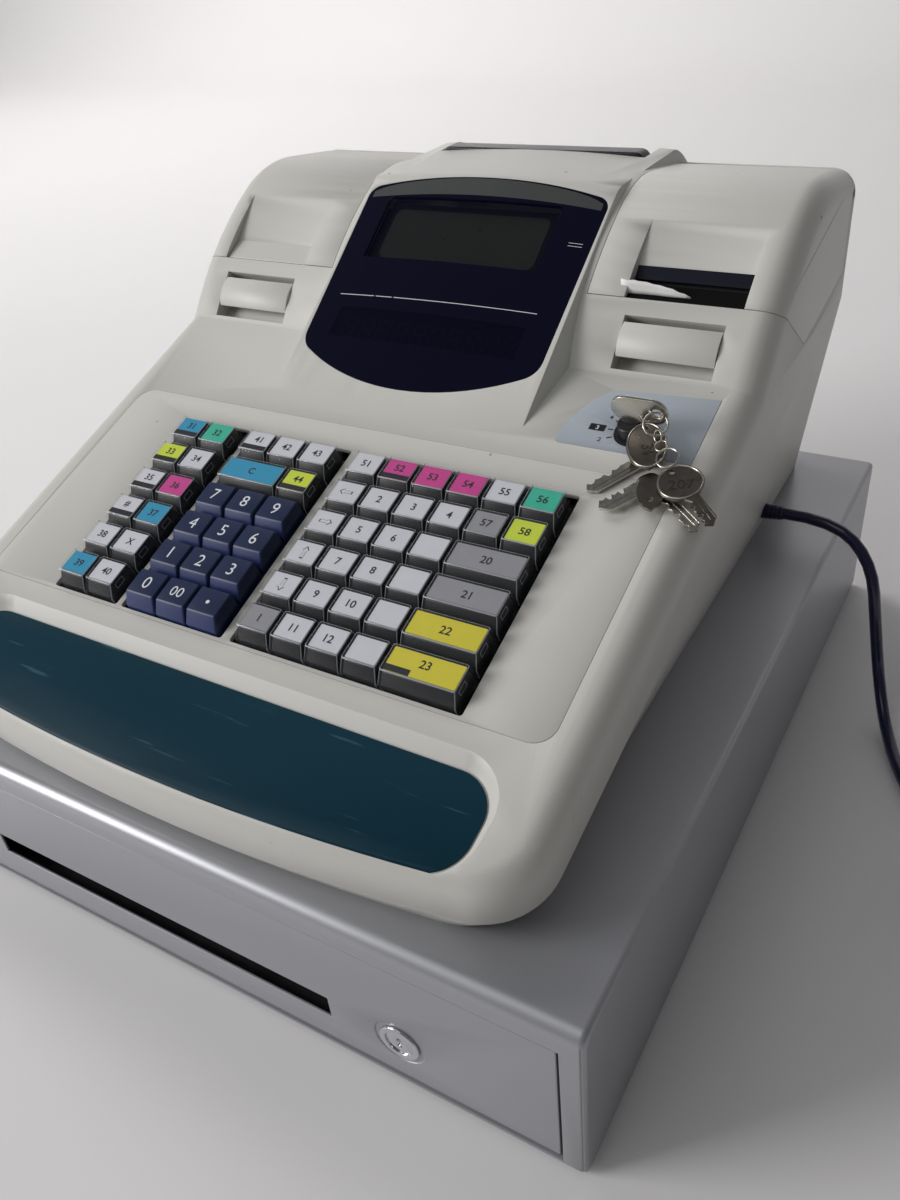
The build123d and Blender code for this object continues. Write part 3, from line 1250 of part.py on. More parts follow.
def printer_frame(side):
    """Printer chassis: base on four legs, two side plates and the print head block."""
    x = side * PRINTER_X
    inner_x = FRAME_HALF - FRAME_T
    with BuildPart() as frame:
        with BuildSketch(Plane.XY.offset(FRAME_Z0)):
            with Locations((x, (FRAME_Y0 + FRAME_Y1) / 2)):
                Rectangle(2 * FRAME_HALF, FRAME_Y1 - FRAME_Y0)
        extrude(amount=FRAME_T)
        for end in (-1, 1):
            with BuildSketch(Plane.YZ.offset(x + end * (inner_x + FRAME_T / 2) - FRAME_T / 2)):
                with Locations(((FRAME_Y0 + FRAME_Y1) / 2, (FRAME_Z0 + FRAME_Z1) / 2)):
                    Rectangle(FRAME_Y1 - FRAME_Y0, FRAME_Z1 - FRAME_Z0)
                with Locations(PLATEN):
                    Circle(AXLE_R + PIN_FIT, mode=Mode.SUBTRACT)
                for seat, radius in ((ROLL, SPINDLE_R), (SPOOL, AXLE_R)):
                    with Locations(seat):
                        Circle(radius + PIN_FIT, mode=Mode.SUBTRACT)
                    with Locations((seat[0], (seat[1] + FRAME_Z1) / 2)):
                        Rectangle(2 * (radius + PIN_FIT), FRAME_Z1 - seat[1], mode=Mode.SUBTRACT)
            extrude(amount=FRAME_T)
        with BuildSketch(Plane.XY.offset(CASE_TOP + WALL)):
            with Locations(*[(x + dx, y) for dx in (-16, 16) for y in (FRAME_Y0 + 12, FRAME_Y1 - 12)]):
                Rectangle(8, 8)
        extrude(amount=FRAME_Z0 - CASE_TOP - WALL)
        with BuildSketch(Plane.XY.offset(FRAME_Z0 + FRAME_T)):
            with Locations((x, (FRAME_Y0 + HEAD_Y1) / 2)):
                Rectangle(2 * inner_x, HEAD_Y1 - FRAME_Y0)
        extrude(amount=HEAD_Z1 - FRAME_Z0 - FRAME_T)
        if side < 0:
            # paper ledge under the journal's mouth
            with BuildSketch(Plane.YZ.offset(x - RECESS_HALF + 0.6)):
                with BuildLine():
                    Polyline(LEDGE_ROOT, LEDGE_END, (LEDGE_END[0], HEAD_Z1 - 6), (FRAME_Y0, HEAD_Z1 - 6),
                             (LEDGE_ROOT[0], LEDGE_ROOT[1] - 2), close=True)
                make_face()
            extrude(amount=2 * (RECESS_HALF - 0.6))
    return frame.part


for name, side in (("journal_printer", -1), ("receipt_printer", 1)):
    frame = printer_frame(side)
    frame.label = name
    export_step(frame, f"parts/{name}.step")


def spindle_set(seat, axle_r, body_r, sides):
    """Roller or roll with its axle, one for each printer side named."""
    with BuildPart() as rollers:
        for side in sides:
            x = side * PRINTER_X
            with BuildSketch(Plane.YZ.offset(x - FRAME_HALF - 2)):
                with Locations(seat):
                    Circle(axle_r)
            extrude(amount=2 * FRAME_HALF + 4)
            with BuildSketch(Plane.YZ.offset(x - PAPER_W / 2)):
                with Locations(seat):
                    Circle(body_r)
            extrude(amount=PAPER_W)
    return rollers.part


for name, seat, axle_r, body_r, sides in (
        ("platen_rollers", PLATEN, AXLE_R, PLATEN_R, (-1, 1)),
        ("paper_rolls", ROLL, SPINDLE_R, ROLL_R, (-1, 1)),
        ("journal_spool", SPOOL, AXLE_R, SPOOL_R, (-1,))):
    roller = spindle_set(seat, axle_r, body_r, sides)
    roller.label = name
    export_step(roller, f"parts/{name}.step")

# paper from the roll, under the platen and out through the mouth
axis_angle = atan2(PLATEN[1] - ROLL[1], PLATEN[0] - ROLL[0])
roll_out = ROLL_R + 2 * FACE_GAP
platen_out = PLATEN_R + FACE_GAP + PAPER_T / 2
span = hypot(PLATEN[0] - ROLL[0], PLATEN[1] - ROLL[1])
touch = axis_angle + pi / 2 - atan2(roll_out - platen_out, span)
with BuildPart() as receipt_paper:
    with BuildSketch(Plane.YZ.offset(PRINTER_X - PAPER_W / 2)):
        with BuildLine():
            lead = Line((ROLL[0] + roll_out * cos(touch), ROLL[1] + roll_out * sin(touch)),
                        (PLATEN[0] + platen_out * cos(touch), PLATEN[1] + platen_out * sin(touch)))
            mid_angle = (touch + pi) / 2
            wrap = ThreePointArc(lead @ 1, (PLATEN[0] + platen_out * cos(mid_angle),
                                            PLATEN[1] + platen_out * sin(mid_angle)),
                                 (PLATEN[0] - platen_out, PLATEN[1]))
            ThreePointArc(wrap @ 1, (PLATEN[0] - platen_out - 2.2, PLATEN[1] + 8), MOUTH)
        trace(line_width=PAPER_T)
    extrude(amount=PAPER_W)
receipt_paper.part.label = "receipt_paper"
export_step(receipt_paper.part, "parts/receipt_paper.step")

# ---------------------------------------------------------------------------
# Electronics in the lower case
# ---------------------------------------------------------------------------

inner_floor = CASE_TOP + WALL
with BuildPart() as main_board:
    with BuildSketch(Plane.XY.offset(inner_floor + 6)):
        with Locations((0, MAIN_Y)):
            Rectangle(MAIN_W, MAIN_D)
    extrude(amount=BOARD_T)
    with BuildSketch(Plane.XY.offset(inner_floor)):
        with Locations(*[(sx * (MAIN_W / 2 - 8), MAIN_Y + sy * (MAIN_D / 2 - 8))
                         for sx in (-1, 1) for sy in (-1, 1)]):
            Circle(3)
    extrude(amount=6)
    with BuildSketch(Plane.XY.offset(inner_floor + 6 + BOARD_T)):
        with Locations((-50, MAIN_Y), (30, MAIN_Y + 15)):
            Rectangle(34, 22)
        with Locations((85, MAIN_Y + 20), (-90, MAIN_Y + 22)):
            Rectangle(10, 30)
    extrude(amount=5)
main_board.part.label = "main_board"
export_step(main_board.part, "parts/main_board.step")

with BuildPart() as power_supply:
    with BuildSketch(Plane.XY.offset(inner_floor)):
        with Locations((0, SUPPLY_Y)):
            Rectangle(SUPPLY_W, SUPPLY_D)
    extrude(amount=6)
    with BuildSketch(Plane.XY.offset(inner_floor + 6)):
        with Locations((0, SUPPLY_Y)):
            RectangleRounded(SUPPLY_W - 16, SUPPLY_D - 16, 4)
    extrude(amount=SUPPLY_H)
power_supply.part.label = "power_supply"
export_step(power_supply.part, "parts/power_supply.step")

# ---------------------------------------------------------------------------
# Mode lock, its plate and the keys on the ring
# ---------------------------------------------------------------------------

mode_v = MODE_Y / cos(slope)
lock_frame = Plane(origin=slope_plane.from_local_coords((MODE_X, mode_v, 0)), x_dir=(1, 0, 0),
                   z_dir=slope_plane.z_dir)
with BuildPart() as mode_plate:
    with BuildSketch(slope_plane.offset(-PLATE_SEAT)):
        add(plate_outline(0))
        with Locations((MODE_X, mode_v)):
            Circle(MODE_COLLAR_R + FACE_GAP, mode=Mode.SUBTRACT)
    extrude(amount=PLATE_T)
mode_plate.part.label = "mode_plate"
export_step(mode_plate.part, "parts/mode_plate.step")

with BuildPart() as mode_switch:
    with BuildSketch(lock_frame.offset(-SWITCH_DEEP)):
        Rectangle(26, 26)
    extrude(amount=SWITCH_DEEP - WALL - FACE_GAP)
    with BuildSketch(lock_frame.offset(-WALL - 1)):
        Circle(MODE_COLLAR_R)
    extrude(amount=WALL + 2.2)
    with BuildSketch(lock_frame.offset(-BARREL_DEEP - FACE_GAP)):
        Circle(MODE_BARREL_R + PIN_FIT)
    extrude(amount=BARREL_DEEP + 10, mode=Mode.SUBTRACT)
mode_switch.part.label = "mode_switch"
export_step(mode_switch.part, "parts/mode_switch.step")

with BuildPart() as mode_barrel:
    with BuildSketch(lock_frame.offset(-BARREL_DEEP)):
        Circle(MODE_BARREL_R)
    extrude(amount=BARREL_DEEP + MODE_PROUD)
    chamfer(mode_barrel.edges().filter_by(GeomType.CIRCLE).sort_by(Axis.Z)[-1], 0.6)
    with BuildSketch(lock_frame.offset(-BLADE_DEEP)):
        Rectangle(BLADE_W, BLADE_T)
    extrude(amount=BLADE_DEEP + MODE_PROUD + 1, mode=Mode.SUBTRACT)
mode_barrel.part.label = "mode_barrel"
export_step(mode_barrel.part, "parts/mode_barrel.step")

bow_frame = Plane(origin=lock_frame.origin, x_dir=(1, 0, 0), z_dir=-lock_frame.y_dir)
with BuildPart() as mode_key:
    with BuildSketch(bow_frame.offset(-BLADE_T / 2)):
        with Locations((0, (BOW_Z - BLADE_DEEP) / 2)):
            Rectangle(BLADE_W, BOW_Z + BLADE_DEEP)
        with Locations((BOW_X, BOW_Z)):
            SlotOverall(BOW_W, BOW_H)
        with Locations((BOW_HOLE_X, BOW_Z)):
            Circle(BOW_HOLE_R, mode=Mode.SUBTRACT)
    extrude(amount=BLADE_T)
mode_key.part.label = "mode_key"
export_step(mode_key.part, "parts/mode_key.step")


def loose_key(low, x, y, angle, bow_w, bow_h, blade, width):
    """Flat key lying parallel to the slope, its ring hole at (x, y), its blade pointing along angle."""
    lie = Plane(origin=slope_plane.from_local_coords((x, y / cos(slope), low)),
                x_dir=slope_plane.x_dir * cos(radians(angle)) + slope_plane.y_dir * sin(radians(angle)),
                z_dir=slope_plane.z_dir)
    with BuildPart() as key:
        with BuildSketch(lie):
            with Locations((bow_h / 2 - RING_HOLE - 1.2, 0)):
                Ellipse(bow_h / 2, bow_w / 2)
            with Locations((bow_h + blade / 2 - RING_HOLE - 3, 0)):
                Rectangle(blade + 2, width)
            Circle(RING_HOLE, mode=Mode.SUBTRACT)
        extrude(amount=LOOSE_T)
    return key.part


with BuildPart() as key_bunch:
    with Locations(lock_frame.location * Location((RING_X, RING_V, RING_Z), (0, RING_LEAN, 0))):
        Torus(RING_R, RING_WIRE)
    for entry in LOOSE_KEYS:
        add(loose_key(*entry))
key_bunch.part.label = "key_bunch"
export_step(key_bunch.part, "parts/key_bunch.step")

# ---------------------------------------------------------------------------
# Mains cord: strain relief, laid cord, coil of the spare length and plug
# ---------------------------------------------------------------------------

with BuildPart() as strain_relief:
    with BuildSketch(cord_plane):
        Circle(CORD_R + 0.7)
    with BuildSketch(cord_plane.offset(-10.5)):
        Circle(BOOT_NECK_R)
    loft()
    with BuildSketch(cord_plane.offset(-BOOT_LENGTH)):
        Circle(BOOT_NECK_R)
    extrude(amount=BOOT_LENGTH - 10.5)
    with BuildSketch(cord_plane.offset(-BOOT_LENGTH)):
        Circle(BOOT_FLANGE_R)
    extrude(amount=5)
strain_relief.part.label = "strain_relief"
export_step(strain_relief.part, "parts/strain_relief.step")

with BuildPart() as cord_coil:
    with BuildSketch(Plane.XZ.offset(-COIL_Y)):
        with Locations((COIL_X + COIL_MEAN_R, CORD_FLOOR - CORD_R + COIL_THICK / 2)):
            RectangleRounded(COIL_THICK, COIL_THICK, 8)
    revolve(axis=Axis((COIL_X, COIL_Y, 0), (0, 0, 1)))
cord_coil.part.label = "cord_coil"
export_step(cord_coil.part, "parts/cord_coil.step")

radii = []
for before, corner, after in zip(route, route[1:], route[2:]):
    turn = radians((corner - before).get_angle(after - corner))
    run = min((corner - before).length, (after - corner).length)
    radii.append(0.45 * run / tan(turn / 2))
print("cord radii", [round(radius, 1) for radius in radii])
with BuildPart() as power_cord:
    with BuildLine():
        cord_path = FilletPolyline(*route, radius=radii)
    with BuildSketch(cord_plane):
        Circle(CORD_R)
    sweep()
    print("cord", power_cord.part.volume / (pi * CORD_R ** 2 * cord_path.length))
    add(cord_coil.part, mode=Mode.SUBTRACT)
power_cord.part.label = "power_cord"
export_step(power_cord.part, "parts/power_cord.step")

tail_angle = radians(TAIL_LEAVES_AT)
tail_x = COIL_X + COIL_OUTER_TURN_R * cos(tail_angle)
tail_y = COIL_Y + COIL_OUTER_TURN_R * sin(tail_angle)
tail_heading = Vector(-sin(tail_angle), cos(tail_angle), 0)
tail_start = Plane(origin=(tail_x, tail_y, CORD_FLOOR + 3), x_dir=(cos(tail_angle), sin(tail_angle), 0),
                   z_dir=tail_heading)
with BuildPart() as power_plug:
    with BuildSketch(tail_start):
        Circle(CORD_R)
    extrude(amount=TAIL_LENGTH - 10)
    with BuildSketch(tail_start.offset(TAIL_LENGTH - 18)):
        Circle(CORD_R + 1.2)
    extrude(amount=12)
    with BuildSketch(tail_start.offset(TAIL_LENGTH - 8)):
        RectangleRounded(24, 13, 4)
    extrude(amount=PLUG_LENGTH)
    with BuildSketch(tail_start.offset(TAIL_LENGTH - 8 + PLUG_LENGTH)):
        with Locations((-6.35, 0), (6.35, 0)):
            Rectangle(1.5, 6.3)
    extrude(amount=17)
    add(cord_coil.part, mode=Mode.SUBTRACT)
power_plug.part.label = "power_plug"
export_step(power_plug.part, "parts/power_plug.step")
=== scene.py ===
import math

import bmesh
import bpy
from bpy.props import FloatProperty, FloatVectorProperty, PointerProperty
from bpy.types import Operator, Panel, PropertyGroup
from mathutils import Matrix, Vector


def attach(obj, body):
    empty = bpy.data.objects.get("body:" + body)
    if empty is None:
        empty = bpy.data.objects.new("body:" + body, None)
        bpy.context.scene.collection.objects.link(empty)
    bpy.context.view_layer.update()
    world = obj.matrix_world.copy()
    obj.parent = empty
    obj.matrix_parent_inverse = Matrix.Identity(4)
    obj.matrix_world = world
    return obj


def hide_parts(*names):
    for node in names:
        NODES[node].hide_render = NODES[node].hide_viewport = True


bl_info = {
    "name": "Counter Register",
    "version": (1, 0, 0),
    "blender": (4, 5, 0),
    "location": "View3D > Sidebar > Counter Register",
    "description": "Dresses a cash register and its drawer with keys, labels, displays and finishes",
    "category": "Object",
}

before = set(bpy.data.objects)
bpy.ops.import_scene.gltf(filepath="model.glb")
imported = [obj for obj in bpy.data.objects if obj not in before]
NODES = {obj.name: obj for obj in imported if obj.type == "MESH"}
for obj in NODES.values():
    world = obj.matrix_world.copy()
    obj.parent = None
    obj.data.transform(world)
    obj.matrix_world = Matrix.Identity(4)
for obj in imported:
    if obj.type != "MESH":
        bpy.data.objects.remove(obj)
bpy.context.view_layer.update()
MM = 0.001


def tint(red, green, blue):
    """Linear colour of a display colour given from 0 to 255."""
    return tuple(
        (c / 255 / 12.92) if c <= 10 else ((c / 255 + 0.055) / 1.055) ** 2.4
        for c in (red, green, blue)
    )


def tilted(y, z, angle):
    """Plane through (0, y, z), in millimetres, that rises to the rear by angle degrees."""
    return Matrix.Translation((0, y * MM, z * MM)) @ Matrix.Rotation(math.radians(angle), 4, "X")


def sideways(x, side=1):
    """Plane at x, in millimetres, that faces right or left, with Y across and Z up."""
    return Matrix(((0, 0, side, x * MM), (1, 0, 0, 0), (0, 1, 0, 0), (0, 0, 0, 1)))


# working planes of the case: its slope, the key tops, the display hump, and the slope at the mode lock
SLOPE_ANGLE = 18.35
HUMP_ANGLE = 34.4
SLOPE = tilted(0, 195.1, SLOPE_ANGLE)
KEY_TOP = tilted(-37.8, 191.0, SLOPE_ANGLE)
HUMP = tilted(0, 194.03, HUMP_ANGLE)
LOCK = SLOPE @ Matrix.Translation((129 * MM, 10 / math.cos(math.radians(SLOPE_ANGLE)) * MM, 0))


# ---------------------------------------------------------------------------
# Settings
# ---------------------------------------------------------------------------

def distance(name, about, millimetres):
    """Property that holds a length, shown in Blender's own unit."""
    return FloatProperty(name=name, description=about, unit="LENGTH", precision=4, min=0,
                         default=millimetres * MM)


def colour(name, about, default):
    """Property that holds a colour."""
    return FloatVectorProperty(name=name, description=about, subtype="COLOR", size=3, min=0, max=1,
                               default=default)


class RegisterSizes(PropertyGroup):
    """Sizes of the dressed pieces"""
    key_pitch_x: distance("Key pitch across", "Distance between key columns", 19.0)
    key_pitch_v: distance("Key pitch along", "Distance between key rows", 19.3)
    key_top: distance("Key top width", "Width of one key's top face", 17.0)
    key_top_d: distance("Key top depth", "Depth of a key's top face", 13.6)
    key_base: distance("Key base", "Side of a key's skirt", 18.4)
    numeral: distance("Numeral height", "Height of the number key numerals", 9.4)
    label_numeral: distance("Label numeral height", "Height of the label numerals", 5.6)
    cord_diameter: distance("Cord diameter", "Diameter of the mains cord", 6.5)
    lens: FloatProperty(name="Lens", description="Focal length of the camera", subtype="DISTANCE_CAMERA",
                        default=30.744)


class RegisterColours(PropertyGroup):
    """Colours of the finishes"""
    body: colour("Body", "Moulded case", tint(206, 205, 199))
    drawer: colour("Drawer", "Metallic paint of the drawer case", tint(170, 171, 176))
    mat: colour("Tray mat", "Smooth mat of the coin tray", tint(16, 52, 66))
    key_navy: colour("Number keys", "Number key caps", tint(32, 44, 76))
    visor: colour("Visor", "Dark display window", tint(5, 5, 30))
    label_white: colour("White label", "Plain key labels", tint(214, 214, 222))
    label_cyan: colour("Cyan label", "Blue key labels", tint(38, 150, 190))
    label_green: colour("Green label", "Teal-green key labels", tint(52, 186, 156))
    label_lime: colour("Lime label", "Yellow-green key labels", tint(210, 226, 60))
    label_yellow: colour("Yellow label", "Total key labels", tint(220, 208, 52))
    label_pink: colour("Pink label", "Pink key labels", tint(206, 62, 146))
    label_grey: colour("Grey label", "Payment key labels", tint(150, 150, 156))
    plate: colour("Mode plate", "Printed plate of the mode lock", tint(170, 179, 188))
    cord: colour("Cord", "Jacket of the mains cord", tint(20, 20, 62))
    floor: colour("Floor", "Counter and backdrop", tint(238, 236, 236))


def size(name):
    """One of the sizes, in millimetres."""
    return round(getattr(bpy.context.scene.register_sizes, name) / MM, 4)


def colours():
    """The finishes' colours."""
    return bpy.context.scene.register_colours


# ---------------------------------------------------------------------------
# Finishes
# ---------------------------------------------------------------------------

FINISHES = {}
LEAST_ROUGHNESS = 0.02
COAT_ROUGHNESS = 0.08
GRAIN_DEPTH = 0.0002
SPECK_BLUR, STREAK_BLUR = 0.03, 0.05


def finish(name, base, roughness, metallic=0.0, mottle=0.05, mottle_scale=40, grain=0.0, grain_scale=900,
           spread=0.08, coat=0.0, alpha=1.0, streaks=None, specks=None, specular=0.5):
    """Shader with a slightly uneven colour and roughness, and a fine grain in its surface."""
    if name in FINISHES:
        return FINISHES[name]
    material = bpy.data.materials.new(name)
    material.use_nodes = True
    nodes, links = material.node_tree.nodes, material.node_tree.links
    shader = nodes["Principled BSDF"]
    where = nodes.new("ShaderNodeTexCoord").outputs["Object"]

    def noise(scale, detail, vector=where):
        node = nodes.new("ShaderNodeTexNoise")
        node.inputs["Scale"].default_value = scale
        node.inputs["Detail"].default_value = detail
        links.new(vector, node.inputs["Vector"])
        return node.outputs["Fac"]

    def ranged(value, limits):
        node = nodes.new("ShaderNodeMapRange")
        for limit, number in limits.items():
            node.inputs[limit].default_value = number
        links.new(value, node.inputs["Value"])
        return node.outputs["Result"]

    def mixed(share, under, over):
        node = nodes.new("ShaderNodeMix")
        node.data_type = "RGBA"
        links.new(share, node.inputs["Factor"])
        node.inputs["B"].default_value = (*over, 1)
        if isinstance(under, bpy.types.NodeSocket):
            links.new(under, node.inputs["A"])
        else:
            node.inputs["A"].default_value = (*under, 1)
        return node.outputs["Result"]

    clouds = noise(mottle_scale, 5)
    painted = mixed(clouds, [c * (1 - mottle) for c in base], [min(1, c * (1 + mottle)) for c in base])
    if specks:
        dots = ranged(noise(specks["scale"], 2),
                      {"From Min": specks["cut"], "From Max": specks["cut"] + SPECK_BLUR})
        painted = mixed(dots, painted, specks["colour"])
    if streaks:
        stretch = nodes.new("ShaderNodeMapping")
        stretch.inputs["Scale"].default_value = streaks["stretch"]
        stretch.inputs["Rotation"].default_value = (0, 0, math.radians(streaks["turn"]))
        links.new(where, stretch.inputs["Vector"])
        lines = noise(streaks["scale"], 3, stretch.outputs["Vector"])
        thin = ranged(lines, {"From Min": streaks["cut"], "From Max": streaks["cut"] + STREAK_BLUR,
                              "To Max": streaks["strength"]})
        painted = mixed(thin, painted, streaks["colour"])
    links.new(painted, shader.inputs["Base Color"])
    gloss = ranged(clouds, {"To Min": max(LEAST_ROUGHNESS, roughness - spread),
                            "To Max": min(1, roughness + spread)})
    links.new(gloss, shader.inputs["Roughness"])
    if grain:
        bump = nodes.new("ShaderNodeBump")
        bump.inputs["Strength"].default_value = grain
        bump.inputs["Distance"].default_value = GRAIN_DEPTH
        links.new(noise(grain_scale, 2), bump.inputs["Height"])
        links.new(bump.outputs["Normal"], shader.inputs["Normal"])
    shader.inputs["Metallic"].default_value = metallic
    shader.inputs["Coat Weight"].default_value = coat
    shader.inputs["Coat Roughness"].default_value = COAT_ROUGHNESS
    shader.inputs["Specular IOR Level"].default_value = specular
    shader.inputs["Alpha"].default_value = alpha
    FINISHES[name] = material
    return material


def body_plastic():
    return finish("body_plastic", colours().body, 0.42, mottle=0.025, mottle_scale=14, grain=0.16,
                  grain_scale=1600, specks={"scale": 150, "cut": 0.765, "colour": tint(150, 143, 128)})


def drawer_paint():
    return finish("drawer_paint", colours().drawer, 0.38, metallic=0.5, mottle=0.04, mottle_scale=9,
                  grain=0.08, grain_scale=2600, spread=0.06)


def zinc():
    return finish("zinc", tint(176, 178, 180), 0.38, metallic=1, mottle=0.12, mottle_scale=55, grain=0.1)


def rubber():
    return finish("rubber", tint(30, 30, 30), 0.75, mottle=0.15, mottle_scale=90, grain=0.3)


def roller_rubber():
    return finish("roller_rubber", tint(40, 40, 42), 0.7, mottle=0.15, mottle_scale=150, grain=0.3)


def black_plastic():
    return finish("black_plastic", tint(24, 24, 26), 0.4, mottle=0.15, mottle_scale=60, grain=0.12)


def cord_jacket():
    return finish("cord_jacket", colours().cord, 0.22, mottle=0.12, mottle_scale=120, grain=0.05, coat=0.3)


def navy_cap():
    return finish("key_navy", colours().key_navy, 0.42, mottle=0.06, mottle_scale=60, grain=0.1,
                  grain_scale=1400)


# painted light: a lighter navy for the number keys' front slopes, as if lit from the front
def navy_front():
    return finish("key_front", tint(38, 54, 104), 0.42, mottle=0.06, mottle_scale=60, grain=0.1)


def clear_plastic():
    return finish("clear_plastic", tint(196, 200, 206), 0.06, mottle=0.04, mottle_scale=120, spread=0.03,
                  alpha=0.05)


# painted highlight: paler, half-opaque plastic on the clear caps' upper rims and corners, for the light they
# catch
def clear_edge():
    return finish("clear_edge", tint(214, 218, 224), 0.12, mottle=0.1, mottle_scale=300, spread=0.06,
                  alpha=0.5)


# painted highlight: pale lines along the edges of the clip windows in the clear caps
def clip_line():
    return finish("clip_line", tint(150, 152, 160), 0.3, mottle=0.15, mottle_scale=300)


def black_core():
    return finish("key_core_black", tint(15, 15, 17), 0.36, mottle=0.2, mottle_scale=90, grain=0.08,
                  specular=0.35)


def label(key):
    return finish("label_" + key, getattr(colours(), "label_" + key), 0.5, mottle_scale=170, grain=0.04)


def white_print():
    return finish("white_print", tint(224, 228, 232), 0.4, mottle=0.03, mottle_scale=300)


def black_print():
    return finish("black_print", tint(28, 28, 34), 0.4, mottle=0.12, mottle_scale=300)


def visor_glass():
    return finish("visor_glass", colours().visor, 0.08, mottle_scale=20, spread=0.03, specular=0.3)


# painted reflection: a matt grey band standing in for the reflection along the top of the dark visor
def visor_brow():
    return finish("visor_brow", tint(66, 68, 68), 0.45, mottle=0.12, mottle_scale=30)


def display_case():
    return finish("display_case", tint(20, 22, 30), 0.28, mottle=0.1, grain=0.08)


def display_black():
    return finish("display_black", tint(8, 8, 12), 0.5, mottle=0.2, mottle_scale=80)


def lcd_glass():
    return finish("lcd_glass", tint(84, 86, 70), 0.3, mottle_scale=30)


def unlit_segment():
    return finish("unlit_segment", tint(92, 92, 150), 0.4, mottle=0.2, mottle_scale=200)


def board_green():
    return finish("board_green", tint(44, 92, 56), 0.35, mottle=0.2, mottle_scale=180, grain=0.1)


def tray_mat():
    return finish("tray_mat", colours().mat, 0.42, mottle=0.1, mottle_scale=7, grain=0.05, specular=0.12,
                  streaks={"stretch": (0.12, 2.2, 1.0), "turn": 18, "scale": 170, "cut": 0.66,
                           "colour": tint(96, 140, 156), "strength": 0.2})


def mode_plate():
    return finish("mode_plate", colours().plate, 0.38, mottle=0.04, mottle_scale=25, grain=0.04)


def barrel_black():
    return finish("barrel_black", tint(26, 26, 28), 0.35, mottle=0.1, mottle_scale=90)


def nickel():
    return finish("nickel", tint(206, 202, 194), 0.24, metallic=1, mottle=0.14, mottle_scale=260, grain=0.15,
                  grain_scale=1500, spread=0.1)


def dark_nickel():
    return finish("dark_nickel", tint(132, 126, 118), 0.3, metallic=1, mottle=0.2, mottle_scale=300,
                  grain=0.2, grain_scale=1500, spread=0.1)


def engraving():
    return finish("engraving", tint(58, 54, 50), 0.5, metallic=0.4, mottle=0.2, mottle_scale=300)


def chrome():
    return finish("chrome", tint(214, 214, 218), 0.12, metallic=1, mottle=0.04, mottle_scale=80, spread=0.06)


def paper():
    return finish("paper", tint(250, 250, 247), 0.85, mottle=0.03, mottle_scale=200, grain=0.2,
                  grain_scale=1200)


# black plastic of the printer's throat, darker still as painted shade inside the receipt mouth
def mouth_dark():
    return finish("mouth_dark", tint(10, 10, 12), 0.6, mottle=0.2, mottle_scale=80, specular=0.15)


def tear_bar_navy():
    return finish("tear_bar", tint(8, 8, 30), 0.5, mottle=0.15, mottle_scale=80, specular=0.2)


def groove_shadow():
    return finish("groove_shadow", tint(92, 90, 84), 0.8, mottle=0.2, mottle_scale=200, grain=0.1)


def scuff():
    return finish("scuff", tint(120, 112, 98), 0.7, mottle=0.3, mottle_scale=400)


def counter():
    return finish("counter", colours().floor, 0.55, mottle=0.015, mottle_scale=3, spread=0.05)


# ---------------------------------------------------------------------------
# Outlines, in millimetres
# ---------------------------------------------------------------------------

def around(count):
    """Angles that go once round in count steps."""
    return [2 * math.pi * k / count for k in range(count)]


def turned(points, angle, u=0.0, v=0.0):
    """Points turned by angle degrees and moved to (u, v)."""
    c, s = math.cos(math.radians(angle)), math.sin(math.radians(angle))
    return [(u + x * c - y * s, v + x * s + y * c) for x, y in points]


def rounded(u, v, width, depth, radius, steps=3):
    """Outline of a rectangle with round corners, centred on (u, v)."""
    radius = min(radius, width / 2 - 0.01, depth / 2 - 0.01)
    points = []
    for k, (cx, cy) in enumerate(((1, 1), (-1, 1), (-1, -1), (1, -1))):
        for s in range(steps + 1):
            a = math.radians(90 * k + 90 * s / steps)
            points.append((u + cx * (width / 2 - radius) + radius * math.cos(a),
                           v + cy * (depth / 2 - radius) + radius * math.sin(a)))
    return points


def disc(u, v, radius, count=32):
    """Round outline centred on (u, v)."""
    return [(u + radius * math.cos(a), v + radius * math.sin(a)) for a in around(count)]


def oval(length, width, count=28):
    """Oval outline whose length lies along its first direction."""
    return [(length / 2 * math.cos(a), width / 2 * math.sin(a)) for a in around(count)]


ARROW_HEAD, ARROW_HEAD_HALF, ARROW_SHAFT_HALF = 2.4, 1.9, 0.85


def arrow(u, v, length, turn):
    """Outline of a block arrow that points along turn degrees."""
    tip, head, wide, slim = length / 2, length / 2 - ARROW_HEAD, ARROW_HEAD_HALF, ARROW_SHAFT_HALF
    shape = [(tip, 0), (head, wide), (head, slim), (-tip, slim), (-tip, -slim), (head, -slim), (head, -wide)]
    return turned(shape, turn, u, v)


def shrink(outline, amount):
    """Outline pulled in by amount along its corner directions."""
    count = len(outline)
    points = []
    for k in range(count):
        a, b, c = Vector(outline[k - 1]), Vector(outline[k]), Vector(outline[(k + 1) % count])
        one, two = (b - a).normalized(), (c - b).normalized()
        normal = Vector((-(one.y + two.y), one.x + two.x))
        normal = normal.normalized() if normal.length > 1e-9 else Vector((-one.y, one.x))
        points.append(tuple(b + normal * amount))
    return points


TEXTS = {}


def outline_text(text, weight):
    """Points and faces of flat lettering, one unit high, centred on its middle and grown by weight."""
    name = text, weight
    if name not in TEXTS:
        curve = bpy.data.curves.new("lettering", "FONT")
        curve.body = text
        curve.align_x = "CENTER"
        curve.resolution_u = 3
        curve.offset = weight
        carrier = bpy.data.objects.new("lettering", curve)
        bpy.context.scene.collection.objects.link(carrier)
        seen = evaluated(carrier)
        xs = [v.co.x for v in seen.vertices]
        ys = [v.co.y for v in seen.vertices]
        mid_x, mid_y = (min(xs) + max(xs)) / 2, (min(ys) + max(ys)) / 2
        points = [(v.co.x - mid_x, v.co.y - mid_y) for v in seen.vertices]
        TEXTS[name] = points, [list(p.vertices) for p in seen.polygons]
        bpy.data.objects.remove(carrier)
        bpy.data.curves.remove(curve)
        bpy.data.meshes.remove(seen)
    return TEXTS[name]


